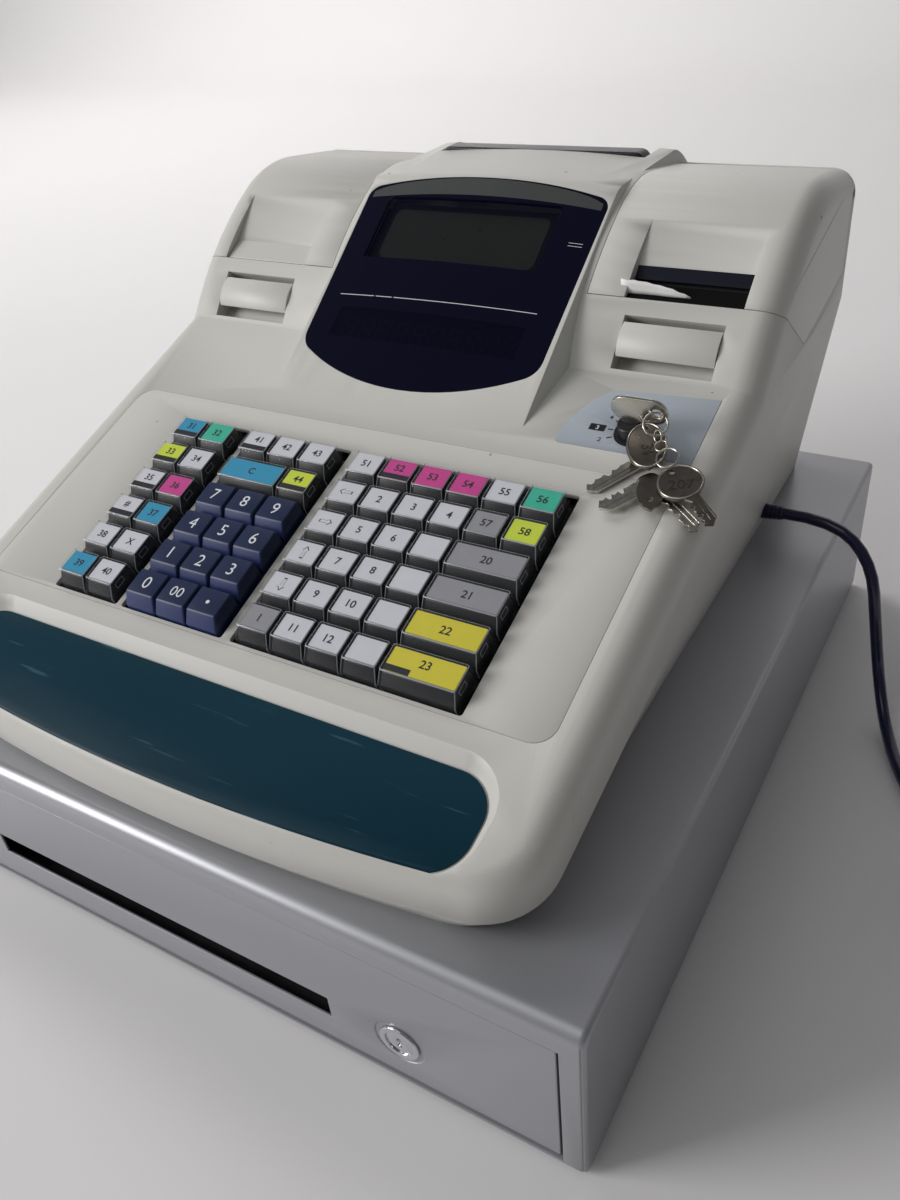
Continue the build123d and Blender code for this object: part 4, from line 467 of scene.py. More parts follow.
def evaluated(carrier):
    """New mesh of an object as Blender evaluates it."""
    bpy.context.view_layer.update()
    return bpy.data.meshes.new_from_object(carrier.evaluated_get(bpy.context.evaluated_depsgraph_get()))


# ---------------------------------------------------------------------------
# Mesh tools
# ---------------------------------------------------------------------------

BEVEL_ANGLE = 38
BEVEL_SEGMENTS = 2
# corners of a carried-over node join within this distance in metres, faces within this angle in degrees
JOIN_WITHIN, FLAT_WITHIN = 0.00001, 0.4
# cosine of the angle within which a face counts as a front, which gets painted light
FRONT_FACING = 0.55


def smooth(data, sharp):
    """Smooth faces that stay sharp where they meet at more than sharp degrees."""
    data.polygons.foreach_set("use_smooth", [True] * len(data.polygons))
    data.set_sharp_from_angle(angle=math.radians(sharp))


def soften_edges(made, width):
    """Breaks an object's sharp edges by width."""
    soften = made.modifiers.new("soft_edges", "BEVEL")
    soften.width = width * MM
    soften.segments = BEVEL_SEGMENTS
    soften.limit_method = "ANGLE"
    soften.angle_limit = math.radians(BEVEL_ANGLE)
    return soften


def mount(made, body, replaces=()):
    """Links a piece, lets it ride on a body and hides the nodes it replaces."""
    bpy.context.scene.collection.objects.link(made)
    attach(made, body)
    if replaces:
        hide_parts(*replaces)


class Shape:
    """Gathers lofts, plates and glyphs on a plane into one mesh piece."""

    def __init__(self, plane):
        self.plane = plane
        self.mesh = bmesh.new()
        self.finishes = []

    def point(self, u, v, w):
        """New vertex at (u, v) and height w on the plane."""
        return self.mesh.verts.new(self.plane @ Vector((u * MM, v * MM, w * MM)))

    def slot_of(self, material):
        if material not in self.finishes:
            self.finishes.append(material)
        return self.finishes.index(material)

    def face(self, corners, index):
        self.mesh.faces.new(corners).material_index = index

    def loft(self, rings, material, bands=(), closed=True, corners=None):
        """Skin over (outline, height) rings; the first bands and the corners may have their own finish."""
        index = self.slot_of(material)
        loops = [[self.point(u, v, w) for u, v in outline] for outline, w in rings]
        count = len(loops[0])
        for band, (low, high) in enumerate(zip(loops, loops[1:])):
            use = self.slot_of(bands[band]) if band < len(bands) else index
            for k in range(count):
                self.face((low[k], low[(k + 1) % count], high[(k + 1) % count], high[k]),
                          self.slot_of(corners) if corners and k % 4 == 1 else use)
        if closed:
            self.face(loops[0][::-1], index)
            self.face(loops[-1], index)

    def paint_fronts(self, material):
        """Gives the faces that look down the plane their own finish, a painted light."""
        index = self.slot_of(material)
        bmesh.ops.recalc_face_normals(self.mesh, faces=self.mesh.faces)
        self.mesh.normal_update()
        down = self.plane.to_3x3() @ Vector((0, -1, 0))
        for face in self.mesh.faces:
            if face.normal.dot(down) > FRONT_FACING:
                face.material_index = index

    def plate(self, outline, low, high, material, edge=0.0):
        """Flat plate between two heights, its upper edge broken by edge."""
        rings = [(outline, low), (outline, high - edge)]
        if edge:
            rings.append((shrink(outline, edge), high))
        self.loft(rings, material)

    def sheet(self, rows, material):
        """Open skin over rows of (u, v, w) points."""
        index = self.slot_of(material)
        rows = [[self.point(*p) for p in row] for row in rows]
        for one, two in zip(rows, rows[1:]):
            for k in range(len(one) - 1):
                self.face((one[k], two[k], two[k + 1], one[k + 1]), index)

    def ribbon(self, line, width, material):
        """Thin flat strip along a line of (u, v) points, slimmer at both ends."""
        rows = []
        for k, point in enumerate(line):
            here, last = Vector(point), len(line) - 1
            ahead = (Vector(line[min(k + 1, last)]) - Vector(line[max(k - 1, 0)])).normalized()
            side = Vector((-ahead.y, ahead.x)) * width / 2 * (0.3 if k in (0, last) else 1)
            rows.append([(*(here + side * s), 0) for s in (-1, 1)])
        self.sheet(rows, material)

    def pierced(self, outline, hole, low, high, material):
        """Plate with one hole, made by filling its two outlines."""
        index = self.slot_of(material)
        ends = []
        for height in (low, high):
            loops, edges = [], []
            for ring in (outline, hole):
                verts = [self.point(u, v, height) for u, v in ring]
                edges += [self.mesh.edges.new((verts[k - 1], verts[k])) for k in range(len(verts))]
                loops.append(verts)
            filled = bmesh.ops.triangle_fill(self.mesh, use_beauty=True, use_dissolve=False, edges=edges)
            for item in filled["geom"]:
                if isinstance(item, bmesh.types.BMFace):
                    item.material_index = index
            ends.append(loops)
        for bottom, top in zip(*ends):
            for k in range(len(bottom)):
                self.face((bottom[k - 1], bottom[k], top[k], top[k - 1]), index)

    def glyphs(self, text, u, v, w, height, material, turn=0.0, lift=0.03, weight=0.014):
        """Flat lettering whose middle is at (u, v), lying just above w."""
        points, faces = outline_text(text, weight)
        index = self.slot_of(material)
        placed = turned([(x * height, y * height) for x, y in points], turn, u, v)
        made = [self.point(x, y, w + lift) for x, y in placed]
        for face in faces:
            self.face([made[k] for k in face], index)

    def tube(self, points, radius, material, sides=8):
        """Round bar along a ring of points on this plane."""
        index = self.slot_of(material)
        line = [self.plane @ (Vector(p) * MM) for p in points]
        loops, side = [], None
        for k, point in enumerate(line):
            along = (line[(k + 1) % len(line)] - line[k - 1]).normalized()
            side = (along.orthogonal() if side is None else side - along * side.dot(along)).normalized()
            other = along.cross(side)
            spokes = [side * math.cos(a) + other * math.sin(a) for a in around(sides)]
            loops.append([self.mesh.verts.new(point + spoke * radius * MM) for spoke in spokes])
        for low, high in zip(loops, loops[1:] + loops[:1]):
            for n in range(sides):
                self.face((low[n], low[(n + 1) % sides], high[(n + 1) % sides], high[n]), index)

    def piece(self, name, body, slot, replaces=(), sharp=32, bevel=0.0):
        """Turns what was gathered into a piece that rides on a body."""
        bmesh.ops.recalc_face_normals(self.mesh, faces=self.mesh.faces)
        data = bpy.data.meshes.new(name)
        self.mesh.to_mesh(data)
        self.mesh.free()
        for material in self.finishes:
            data.materials.append(material)
        smooth(data, sharp)
        made = bpy.data.objects.new(name, data)
        if bevel:
            soften_edges(made, bevel)
        mount(made, body, replaces)
        return made


def dress(node, material, sharp=30, bevel=0.0):
    """Gives a carried-over node its finish, smooth curves and softly broken edges."""
    carried = NODES[node]
    data = carried.data
    data.materials.clear()
    data.materials.append(material)
    smooth(data, sharp)
    if bevel:
        joined = carried.modifiers.new("joined", "WELD")
        joined.merge_threshold = JOIN_WITHIN
        merged = carried.modifiers.new("flat_faces", "DECIMATE")
        merged.decimate_type = "DISSOLVE"
        merged.angle_limit = math.radians(FLAT_WITHIN)
        soften_edges(carried, bevel).harden_normals = True


def dress_all(nodes, material):
    """Dresses several nodes in one finish, each given with the width of its broken edges."""
    for node, bevel in nodes.items():
        dress(node, material, bevel=bevel)


class RegisterOperator:
    """What all operators of the register share"""
    bl_options = {"REGISTER", "UNDO"}


# ---------------------------------------------------------------------------
# Camera and cord
# ---------------------------------------------------------------------------

CAMERA_AT = (0.2897, -0.3953, 0.4168)
CAMERA_RIGHT = Vector((0.86044, 0.50177, -0.08873))
CAMERA_DOWN = Vector((0.22931, -0.53681, -0.81194))
CAMERA_AHEAD = Vector((-0.45504, 0.67828, -0.57695))


class REGISTER_OT_camera(RegisterOperator, Operator):
    """Place the camera in front of the register's right corner"""
    bl_idname = "register.camera"
    bl_label = "Camera"

    def execute(self, context):
        data = bpy.data.cameras.new("view")
        data.lens = context.scene.register_sizes.lens
        data.clip_start = 0.01
        camera = bpy.data.objects.new("view", data)
        turn = Matrix((CAMERA_RIGHT, -CAMERA_DOWN, -CAMERA_AHEAD)).transposed()
        camera.matrix_world = Matrix.Translation(CAMERA_AT) @ turn.to_4x4()
        context.scene.collection.objects.link(camera)
        context.scene.camera = camera
        return {"FINISHED"}


CORD_ROUTE = (
    (176.5, 122.0, 103.5), (205.0, 120.0, 106.5), (229.0, 110.0, 90.5), (237.0, 103.0, 56.5),
    (243.0, 102.0, 25.0), (254.0, 81.0, 3.6), (270.0, 43.0, 3.6), (294.0, 10.0, 3.6), (306.0, -20.0, 3.6),
)
COIL = (342.0, -12.0)
COIL_START = 200.0
COIL_STEPS = 24
# the last steps of a turn lead over to the next one
CROSSING_STEPS = 6
# radius and height of each turn, in the order in which they are wound
COIL_LAY = ((35.0, 3.6), (28.4, 3.6), (28.4, 10.3), (35.2, 10.3), (35.2, 17.0), (42.0, 17.0), (42.0, 10.4))
COIL_END = (42.6, 10.2)
TAIL_ANGLE = 210.0
TAIL_RADIUS = 42.25
# distance and height of the tail's points, from the coil to the plug
TAIL_LAY = ((4, 9.6), (22, 7.4), (38, 6.6), (52, 6.6))
# ribbed boot: radii, place of its first rib from its narrow end, pitch of the ribs and depth between them
BOOT_FLANGE, BOOT_WIDE, BOOT_NARROW = 5.5, 4.75, 3.9
BOOT_FIRST_RIB, BOOT_PITCH, BOOT_GROOVE = -20.6, 2.5, 0.55
# tie round the wound turns: where it sits, its opening and its band
TIE_ANGLE, TIE_REACH, TIE_HEIGHT = 52.0, 35.0, 10.8
TIE_INSIDE = (20.6, 20.2)
TIE_WIDTH, TIE_THICK = 8.0, 0.225


def from_coil(reach, angle):
    """Point at reach from the coil's middle, at angle degrees."""
    a = math.radians(angle)
    return COIL[0] + reach * math.cos(a), COIL[1] + reach * math.sin(a)


def cord_points():
    """Control points of the cord: its route, the wound turns and the tail that leads to the plug."""
    points = list(CORD_ROUTE)
    for number, (radius, height) in enumerate(COIL_LAY):
        next_radius, next_height = COIL_LAY[min(number + 1, len(COIL_LAY) - 1)]
        for step in range(COIL_STEPS):
            share = max(0.0, (step - COIL_STEPS + CROSSING_STEPS) / CROSSING_STEPS)
            share = share * share * (3 - 2 * share)
            reach = (radius + (next_radius - radius) * share) / math.cos(math.radians(180 / COIL_STEPS))
            points.append((*from_coil(reach, COIL_START + 360 * step / COIL_STEPS),
                           height + (next_height - height) * share))
    points.append((*from_coil(COIL_END[0], COIL_START), COIL_END[1]))
    x, y = from_coil(TAIL_RADIUS, TAIL_ANGLE)
    ahead = math.radians(TAIL_ANGLE + 90)
    points += [(x + reach * math.cos(ahead), y + reach * math.sin(ahead), height)
               for reach, height in TAIL_LAY]
    return points


def cord_length(cord):
    """Length along a cord's own line, in metres."""
    depth, cord.data.bevel_depth = cord.data.bevel_depth, 0.0
    seen = evaluated(cord)
    cord.data.bevel_depth = depth
    line = [v.co for v in seen.vertices]
    length = sum((b - a).length for a, b in zip(line, line[1:]))
    bpy.data.meshes.remove(seen)
    return length


def lay_cord(radius):
    """Round cord along its points; the points' own radius gives its thickness."""
    points = cord_points()
    curve = bpy.data.curves.new("mains_cord", "CURVE")
    curve.dimensions = "3D"
    line = curve.splines.new("NURBS")
    line.points.add(len(points) - 1)
    for place, (x, y, z) in zip(line.points, points):
        place.co = (x * MM, y * MM, z * MM, 1)
        place.radius = radius * MM
    line.order_u = 3
    line.use_endpoint_u = True
    line.resolution_u = 4
    curve.bevel_depth = 1.0
    curve.bevel_resolution = 4
    curve.use_fill_caps = True
    curve.materials.append(cord_jacket())
    cord = bpy.data.objects.new("mains_cord", curve)
    mount(cord, "cabinet", ["power_cord", "cord_coil"])
    return cord


def make_boot():
    """Strain relief, a ribbed boot that narrows towards the cord."""
    start, after = Vector(CORD_ROUTE[0]), Vector(CORD_ROUTE[1])
    turn = (after - start).to_track_quat("Z", "X").to_matrix().to_4x4()
    boot = Shape(Matrix.Translation(start * MM) @ turn)
    rings = [(3.45, -27.0), (BOOT_FLANGE, -27.0), (BOOT_FLANGE, -22.2), (BOOT_WIDE, -22.0)]
    low = BOOT_FIRST_RIB
    while low < -1.5:
        outer = BOOT_WIDE + (BOOT_NARROW - BOOT_WIDE) * (low - BOOT_FIRST_RIB) / -BOOT_FIRST_RIB
        inner = outer - BOOT_GROOVE
        rings += [(outer, low), (outer, low + 1.5), (inner, low + 1.7), (inner, low + 2.3)]
        low += BOOT_PITCH
    rings += [(3.85, -0.5), (3.4, 0.0)]
    boot.loft([(disc(0, 0, radius), height) for radius, height in rings], cord_jacket())
    boot.piece("strain_boot", "cabinet", "cord_blue", ["strain_relief"])


def make_tie():
    """Flat tie that holds the coil's turns together."""
    a = math.radians(TIE_ANGLE)
    out, up = Vector((math.cos(a), math.sin(a), 0)), Vector((0, 0, 1))
    centre = Vector((*from_coil(TIE_REACH, TIE_ANGLE), TIE_HEIGHT))
    turn = Matrix((out, up, out.cross(up))).transposed().to_4x4()
    tie = Shape(Matrix.Translation(centre * MM) @ turn)
    (width, depth), half, grow = TIE_INSIDE, TIE_WIDTH / 2, TIE_THICK * 2
    inner, outer = rounded(0, 0, width, depth, 6.5, 5), rounded(0, 0, width + grow, depth + grow, 6.5, 5)
    tie.loft([(inner, -half), (inner, half), (outer, half), (outer, -half), (inner, -half)], black_plastic(),
             closed=False)
    tie.piece("coil_tie", "cabinet", "rubber_black")


class REGISTER_OT_cord(RegisterOperator, Operator):
    """Lay the mains cord with its coil, plug and strain relief"""
    bl_idname = "register.cord"
    bl_label = "Mains cord"

    def execute(self, context):
        diameter = size("cord_diameter")
        cord = lay_cord(diameter / 2)
        make_boot()
        make_tie()
        dress("power_plug", cord_jacket(), bevel=0.8)
        cord_length(cord)
        return {"FINISHED"}


# ---------------------------------------------------------------------------
# Keyboard
# ---------------------------------------------------------------------------

# left side of the three key fields
LEFT_X, MID_X, RIGHT_X = -108.4, -62.0, 5.5
# heights from the key tops: foot of the caps, end of their slopes, the cores, the labels and their print
CAP_FOOT = -12.0
WAIST = -6.5
CORE_FOOT, CORE_TOP = -11.8, -1.3
LABEL_TOP = -0.75
PRINT_LOW = -0.74
PRINT_THICK = 0.03
# what the label leaves free of the top face, dark strip along a label's front, and shift of its mark
LABEL_MARGIN = 1.9
STRIP_SETBACK, STRIP_DEPTH, STRIP_SHIFT = 2.5, 3.0, 1.2
# clip on a body's right side: its rib, and the heights and ends of the window over it
RIB_MIDDLE, RIB_WIDTH, RIB_DEPTH, RIB_LOW, RIB_HIGH = -3.2, 0.25, 5.4, -8.6, -6.2
WINDOW_LOW, WINDOW_HIGH, WINDOW_NEAR, WINDOW_FAR = -5.0, -2.0, -5.2, 0.6


def key_rings(x, row, columns, inset=0.0, low=CAP_FOOT, high=0.0, crown=0.55):
    """Outlines of a key from its skirt to its top face, with the face's middle and width."""
    face, depth, base = size("key_top"), size("key_top_d"), size("key_base")
    width = face + (columns - 1) * size("key_pitch_x")
    foot = width + base - face
    mid = x + width / 2
    v = -row * size("key_pitch_v")
    foot_v, top_v = v + 0.4 - base / 2, v - depth / 2

    def between(height):
        share = min(1.0, (height - WAIST) / -WAIST) if height > WAIST else 0.0
        return rounded(mid, foot_v + (top_v - foot_v) * share, foot + (width - foot) * share - 2 * inset,
                       base + (depth - base) * share - 2 * inset, 1.0)

    top = between(high)
    rings = [(between(low), low), (between(WAIST), WAIST), (between(high - crown), high - crown),
             (shrink(top, crown * 0.35), high - crown * 0.25), (shrink(top, crown), high)]
    return rings, mid, top_v, width


def number_cap(column, row, text):
    """Navy cap with its numeral, its front slope painted a lighter navy as painted light."""
    cap = Shape(KEY_TOP)
    rings, mid, top_v, _ = key_rings(MID_X + column * size("key_pitch_x"), row, 1)
    cap.loft(rings, navy_cap())
    # painted light: the front slopes get the lighter navy
    cap.paint_fronts(navy_front())
    if text == "point":
        dot = disc(mid, top_v - 0.4, 1.0, 16)
        cap.loft([(dot, 0.0), (dot, 0.04)], white_print())
    else:
        height = size("numeral") * (1 if len(text) == 1 else 0.82)
        cap.glyphs(text, mid, top_v, 0.0, height, white_print(), weight=0.0)
    cap.piece("cap_" + text, f"number_key_{text}_body", "key_navy", [f"number_key_{text}"])


def clear_cap(shell, core, x, row, columns, tone, mark=None, strip=0.0):
    """Clear cap over a black body, with a coloured label under its top face."""
    rings, mid, top_v, width = key_rings(x, row, columns, crown=0.34)
    # the shell's upper rim bands and its corners get the painted highlight
    clear, edge = clear_plastic(), clear_edge()
    shell.loft(rings, clear, bands=(clear, clear, edge, edge), corners=edge)
    core.loft(key_rings(x, row, columns, inset=0.9, low=CORE_FOOT, high=CORE_TOP, crown=0.4)[0], black_core())
    across, along = width - LABEL_MARGIN, size("key_top_d") - LABEL_MARGIN
    core.plate(rounded(mid, top_v + 0.1, across, along, 0.5), CORE_TOP, LABEL_TOP, label(tone), edge=0.08)
    if strip:
        outline = rounded(mid - across * (1 - strip) / 2, top_v - size("key_top_d") / 2 + STRIP_SETBACK,
                          across * strip, STRIP_DEPTH, 0.15)
        core.plate(outline, PRINT_LOW, PRINT_LOW + 0.04, black_print())
    if isinstance(mark, str):
        height = size("label_numeral") * (1 if len(mark) < 3 else 0.8)
        core.glyphs(mark, mid, top_v + (STRIP_SHIFT if strip else 0), PRINT_LOW + 0.02, height, black_print())
    elif mark is not None:
        print_arrow(core, mid, top_v, mark, tone)
    rib = rounded(x + width + 0.28, top_v + RIB_MIDDLE, RIB_WIDTH, RIB_DEPTH, 0.1)
    core.loft([(rib, RIB_LOW), (rib, RIB_HIGH)], black_core())
    clip_window(shell, x + width, top_v)


def print_arrow(core, u, v, turn, tone):
    """Hollow block arrow printed on a label, which shows through its middle."""
    outer, inner = arrow(u, v, 7.4, turn), arrow(u, v, 5.6, turn)
    core.plate(outer, PRINT_LOW, PRINT_LOW + PRINT_THICK, black_print())
    hollow = [((a[0] + b[0]) / 2 + (u - a[0]) * 0.05, (a[1] + b[1]) / 2 + (v - a[1]) * 0.05)
              for a, b in zip(inner, shrink(outer, 0.35))]
    core.plate(hollow, PRINT_LOW + PRINT_THICK, PRINT_LOW + 2 * PRINT_THICK, label(tone))


def clip_window(shell, edge, v):
    """Painted highlight along the edges of the clip's window on the right slope of a clear cap."""
    index = shell.slot_of(clip_line())
    low, high, near, far = WINDOW_LOW, WINDOW_HIGH, v + WINDOW_NEAR, v + WINDOW_FAR
    for v0, v1, w0, w1 in ((near, far, high - 0.3, high), (near, far, low, low + 0.3),
                           (near, near + 0.35, low, high), (far - 0.35, far, low, high)):
        shell.face([shell.point(edge + 0.7 * w / WAIST + 0.06, v, w)
                    for v, w in ((v0, w0), (v1, w0), (v1, w1), (v0, w1))], index)


class REGISTER_OT_number_keys(RegisterOperator, Operator):
    """Make the navy number key caps with their numerals"""
    bl_idname = "register.number_keys"
    bl_label = "Number keys"

    def execute(self, context):
        for digit in range(1, 10):
            number_cap((digit - 1) % 3, 4 - (digit - 1) // 3, str(digit))
        for column, text in enumerate(("0", "00", "point")):
            number_cap(column, 5, text)
        return {"FINISHED"}


def line_of_keys(field, column, row, *keys):
    """Single keys side by side in a key field, each given as its tone, mark and strip."""
    return [(field + (column + k) * size("key_pitch_x"), row, 1, *key) for k, key in enumerate(keys)]


def function_keys():
    """Two columns on the left, four keys over the number keys and eight at the top right."""
    columns = (
        (("cyan", "31", 1), ("green", "32", 0)), (("lime", "33", 1), ("white", "34", 0)),
        (("white", "35", 1), ("pink", "36", 0)), (("white", "#", 1), ("cyan", "37", 0)),
        (("white", "38", 0), ("white", "X", 0)), (("cyan", "39", 0), ("white", "40", 0)),
    )
    keys = [key for row, pair in enumerate(columns) for key in line_of_keys(LEFT_X, 0, row, *pair)]
    keys += line_of_keys(MID_X, 0, 0, ("white", "41", 1), ("white", "42", 0), ("white", "43", 0))
    keys += line_of_keys(MID_X, 2, 1, ("lime", "44", 1))
    keys += line_of_keys(RIGHT_X, 0, 0, ("white", "51", 0), ("pink", "52", 1), ("pink", "53", 0),
                         ("pink", "54", 0), ("white", "55", 0), ("green", "56", 0))
    return keys + line_of_keys(RIGHT_X, 4, 1, ("grey", "57", 0), ("lime", "58", 0))


def department_keys():
    """A column of arrow keys and a grey key, and three columns counted from 2, the last mostly blank."""
    keys = [(RIGHT_X, row, 1, "white", turn, 0) for row, turn in ((1, 180), (2, 0), (3, 90), (4, -90))]
    keys.append((RIGHT_X, 5, 1, "grey", "1", 0))
    number = 2
    for row in range(1, 6):
        for column in (1, 2, 3):
            blank = column == 3 and row > 1
            keys += line_of_keys(RIGHT_X, column, row, ("white", None if blank else str(number), 0))
            number += 0 if blank else 1
    return keys


class REGISTER_OT_label_keys(RegisterOperator, Operator):
    """Make the clear key caps over their coloured labels"""
    bl_idname = "register.label_keys"
    bl_label = "Label keys"

    def execute(self, context):
        wide_x = RIGHT_X + 4 * size("key_pitch_x")
        groups = (
            ("function", "function_keys", "key_clear", function_keys()),
            ("department", "department_keys", "key_clear", department_keys()),
            ("payment", "payment_keys", "key_clear",
             [(wide_x, 2, 2, "grey", "20"), (wide_x, 3, 2, "grey", "21")]),
            ("clear", "clear_key", "key_cyan", [(MID_X, 1, 2, "cyan", "C")]),
            ("subtotal", "subtotal_key", "key_yellow", [(wide_x, 4, 2, "yellow", "22")]),
            ("total", "total_key", "key_yellow", [(wide_x, 5, 2, "yellow", "23", 0.36)]),
        )
        for name, node, slot, keys in groups:
            shell, core = Shape(KEY_TOP), Shape(KEY_TOP)
            for key in keys:
                clear_cap(shell, core, *key)
            core.piece(name + "_labels", node + "_body", slot, [node])
            shell.piece(name + "_clear_caps", node + "_body", slot)
        return {"FINISHED"}


# ---------------------------------------------------------------------------
# Case, covers and drawer
# ---------------------------------------------------------------------------

class REGISTER_OT_case(RegisterOperator, Operator):
    """Finish the moulded case, keyboard panel, covers, latches and the works inside"""
    bl_idname = "register.case"
    bl_label = "Case and covers"

    def execute(self, context):
        dress_all({"upper_case": 0.35, "lower_case": 0.4, "keyboard_panel": 0.3, "journal_cover": 0.35,
                   "receipt_cover": 0.35, "journal_latch": 0.4, "receipt_latch": 0.4}, body_plastic())
        for node in ("key_guide", "power_supply", "journal_printer", "receipt_printer", "mode_switch"):
            dress(node, black_plastic())
        for node in ("key_board", "main_board"):
            dress(node, board_green())
        dress("display_board", display_black())
        dress("platen_rollers", roller_rubber())
        for node in ("paper_rolls", "journal_spool"):
            dress(node, paper())
        return {"FINISHED"}


# plane just outside the case's side wall, and the grooves on it as (y, z) points
WALL_X = 177.02
COVER_GROOVE = ((92.0, 242.9), (110, 247.3), (150, 257.0), (174.0, 262.6))
CASE_GROOVE = ((126.5, 203.2), (150, 206.6), (183, 211.6))
# middle, angle and length of the scuffs on the right wall
SCUFFS = ((-31.8, 144.6, 70, 5), (-71.2, 130.8, 62, 4), (-102.9, 136.2, 75, 7), (-157.0, 137.4, 40, 5),
          (-162.4, 133.2, 55, 4))


class REGISTER_OT_side_lines(RegisterOperator, Operator):
    """Draw the shallow grooves and scuffs on the sides of the case and covers"""
    bl_idname = "register.side_lines"
    bl_label = "Side grooves"

    def execute(self, context):
        for side, body, name in ((1, "receipt_lid", "receipt"), (-1, "journal_lid", "journal")):
            wall = sideways(side * WALL_X, side)
            groove = Shape(wall)
            groove.ribbon(COVER_GROOVE, 0.55, groove_shadow())
            groove.piece(name + "_side_groove", body, "body_plastic")
            marks = Shape(wall)
            marks.ribbon(CASE_GROOVE, 0.5, groove_shadow())
            if side > 0:
                for y, z, turn, length in SCUFFS:
                    marks.ribbon(turned([(-length / 2, 0), (length / 2, 0)], turn, y, z), 0.4, scuff())
            marks.piece(name + "_case_marks", "cabinet", "body_plastic")
        return {"FINISHED"}


class REGISTER_OT_tray(RegisterOperator, Operator):
    """Finish the coin tray's mat"""
    bl_idname = "register.tray"
    bl_label = "Coin tray"

    def execute(self, context):
        dress("coin_mat", tray_mat(), bevel=0.2)
        return {"FINISHED"}


class REGISTER_OT_drawer(RegisterOperator, Operator):
    """Finish the drawer case, its front, till and lock"""
    bl_idname = "register.drawer"
    bl_label = "Drawer"

    def execute(self, context):
        dress_all({"drawer_case": 0.35, "drawer_base": 0.2, "drawer_front": 0.4}, drawer_paint())
        dress_all({"drawer_pan": 0.15, "case_rails": 0.15, "bill_clips": 0.15, "latch_hook": 0.15,
                   "latch_solenoid": 0.15}, zinc())
        dress("till_insert", black_plastic(), bevel=0.4)
        dress("case_feet", rubber(), bevel=0.3)
        dress_all({"lock_housing": 0.25, "lock_cylinder": 0.15}, chrome())
        return {"FINISHED"}


# ---------------------------------------------------------------------------
# Displays, on the hump's plane
# ---------------------------------------------------------------------------

HUMP_CROWN = 3.0
HUMP_HALF = 75.5
PRINT_LIFT = 0.03
# heights of the displays' bezel, under the visor
DISPLAY_BACK, DISPLAY_LIT = -3.5, -3.2
DIGIT_V = 47.5
# ends of the seven segments of a digit, from its middle
SEGMENTS = ((-2.6, 6, 2.6, 6), (-2.6, 0, 2.6, 0), (-2.6, -6, 2.6, -6), (-3.1, 0.5, -2.9, 5.5),
            (3.1, 0.5, 3.3, 5.5), (-3.3, -5.5, -3.1, -0.5), (2.9, -5.5, 3.1, -0.5))
DIGIT_LEAN = 0.12
# rule above the digits: its three lengths, where it starts, and its rise over its whole length
RULE = ((-61.5, -38.6), (-37.4, -26.8), (-25.6, 59.7))
RULE_V, RULE_RISE = 64.8, 1.1
RULE_HALF, DASH_HALF = 0.2, 0.14
DASHES_V = (108.0, 109.8)
# painted reflection along the visor's upper edge: half length, height and rise of its two arches, drop at its
# corners
GLARE_HALF, GLARE_ARCH = 71.0, 74.0
GLARE_TOP, GLARE_TOP_RISE = 137.2, 8.5
GLARE_LOW, GLARE_LOW_RISE = 131.0, 3.4
GLARE_CORNER_DROP = 2.4
# windows of the visor: middle, half sizes, and how much of the dark glass is left
WINDOWS = ((-4.2, 110.8, 54.0, 20.6, 0.35), (0, DIGIT_V, 57, 9.6, 0.72))


def hump_height(u):
    """Height of the hump's crowned face above its plane."""
    return HUMP_CROWN * (1 - (u / HUMP_HALF) ** 2)


def clear_windows(material, windows):
    """Lets light through the visor at its windows."""
    nodes, links = material.node_tree.nodes, material.node_tree.links
    onto = nodes.new("ShaderNodeMapping")
    onto.vector_type = "TEXTURE"
    onto.inputs["Location"].default_value = HUMP.to_translation()
    onto.inputs["Rotation"].default_value = HUMP.to_euler()
    links.new(nodes.new("ShaderNodeTexCoord").outputs["Object"], onto.inputs["Vector"])
    axes = nodes.new("ShaderNodeSeparateXYZ")
    links.new(onto.outputs["Vector"], axes.inputs["Vector"])

    def calculated(kind, first, second):
        node = nodes.new("ShaderNodeMath")
        node.operation = kind
        for socket, value in zip(node.inputs, (first, second)):
            if isinstance(value, (int, float)):
                socket.default_value = value
            else:
                links.new(value, socket)
        return node.outputs["Value"]

    def within(axis, middle, half):
        away = calculated("ABSOLUTE", calculated("SUBTRACT", axes.outputs[axis], middle * MM), 0)
        return calculated("LESS_THAN", away, half * MM)

    cover = 1.0
    for u, v, half_u, half_v, left in windows:
        inside = calculated("MULTIPLY", within("X", u, half_u), within("Y", v, half_v))
        cover = calculated("SUBTRACT", cover, calculated("MULTIPLY", inside, 1 - left))
    links.new(cover, nodes["Principled BSDF"].inputs["Alpha"])


def lcd_panel():
    """Liquid crystal panel in its bezel."""
    panel = Shape(HUMP)
    panel.plate(rounded(-4.2, 110.8, 106, 40, 1.0), DISPLAY_BACK, DISPLAY_LIT, black_plastic(), edge=0.1)
    panel.plate(rounded(-4.2, 110.4, 97, 33, 4.5), DISPLAY_LIT, DISPLAY_LIT + 0.15, lcd_glass())
    panel.piece("lcd_panel", "cabinet", "visor_glass")


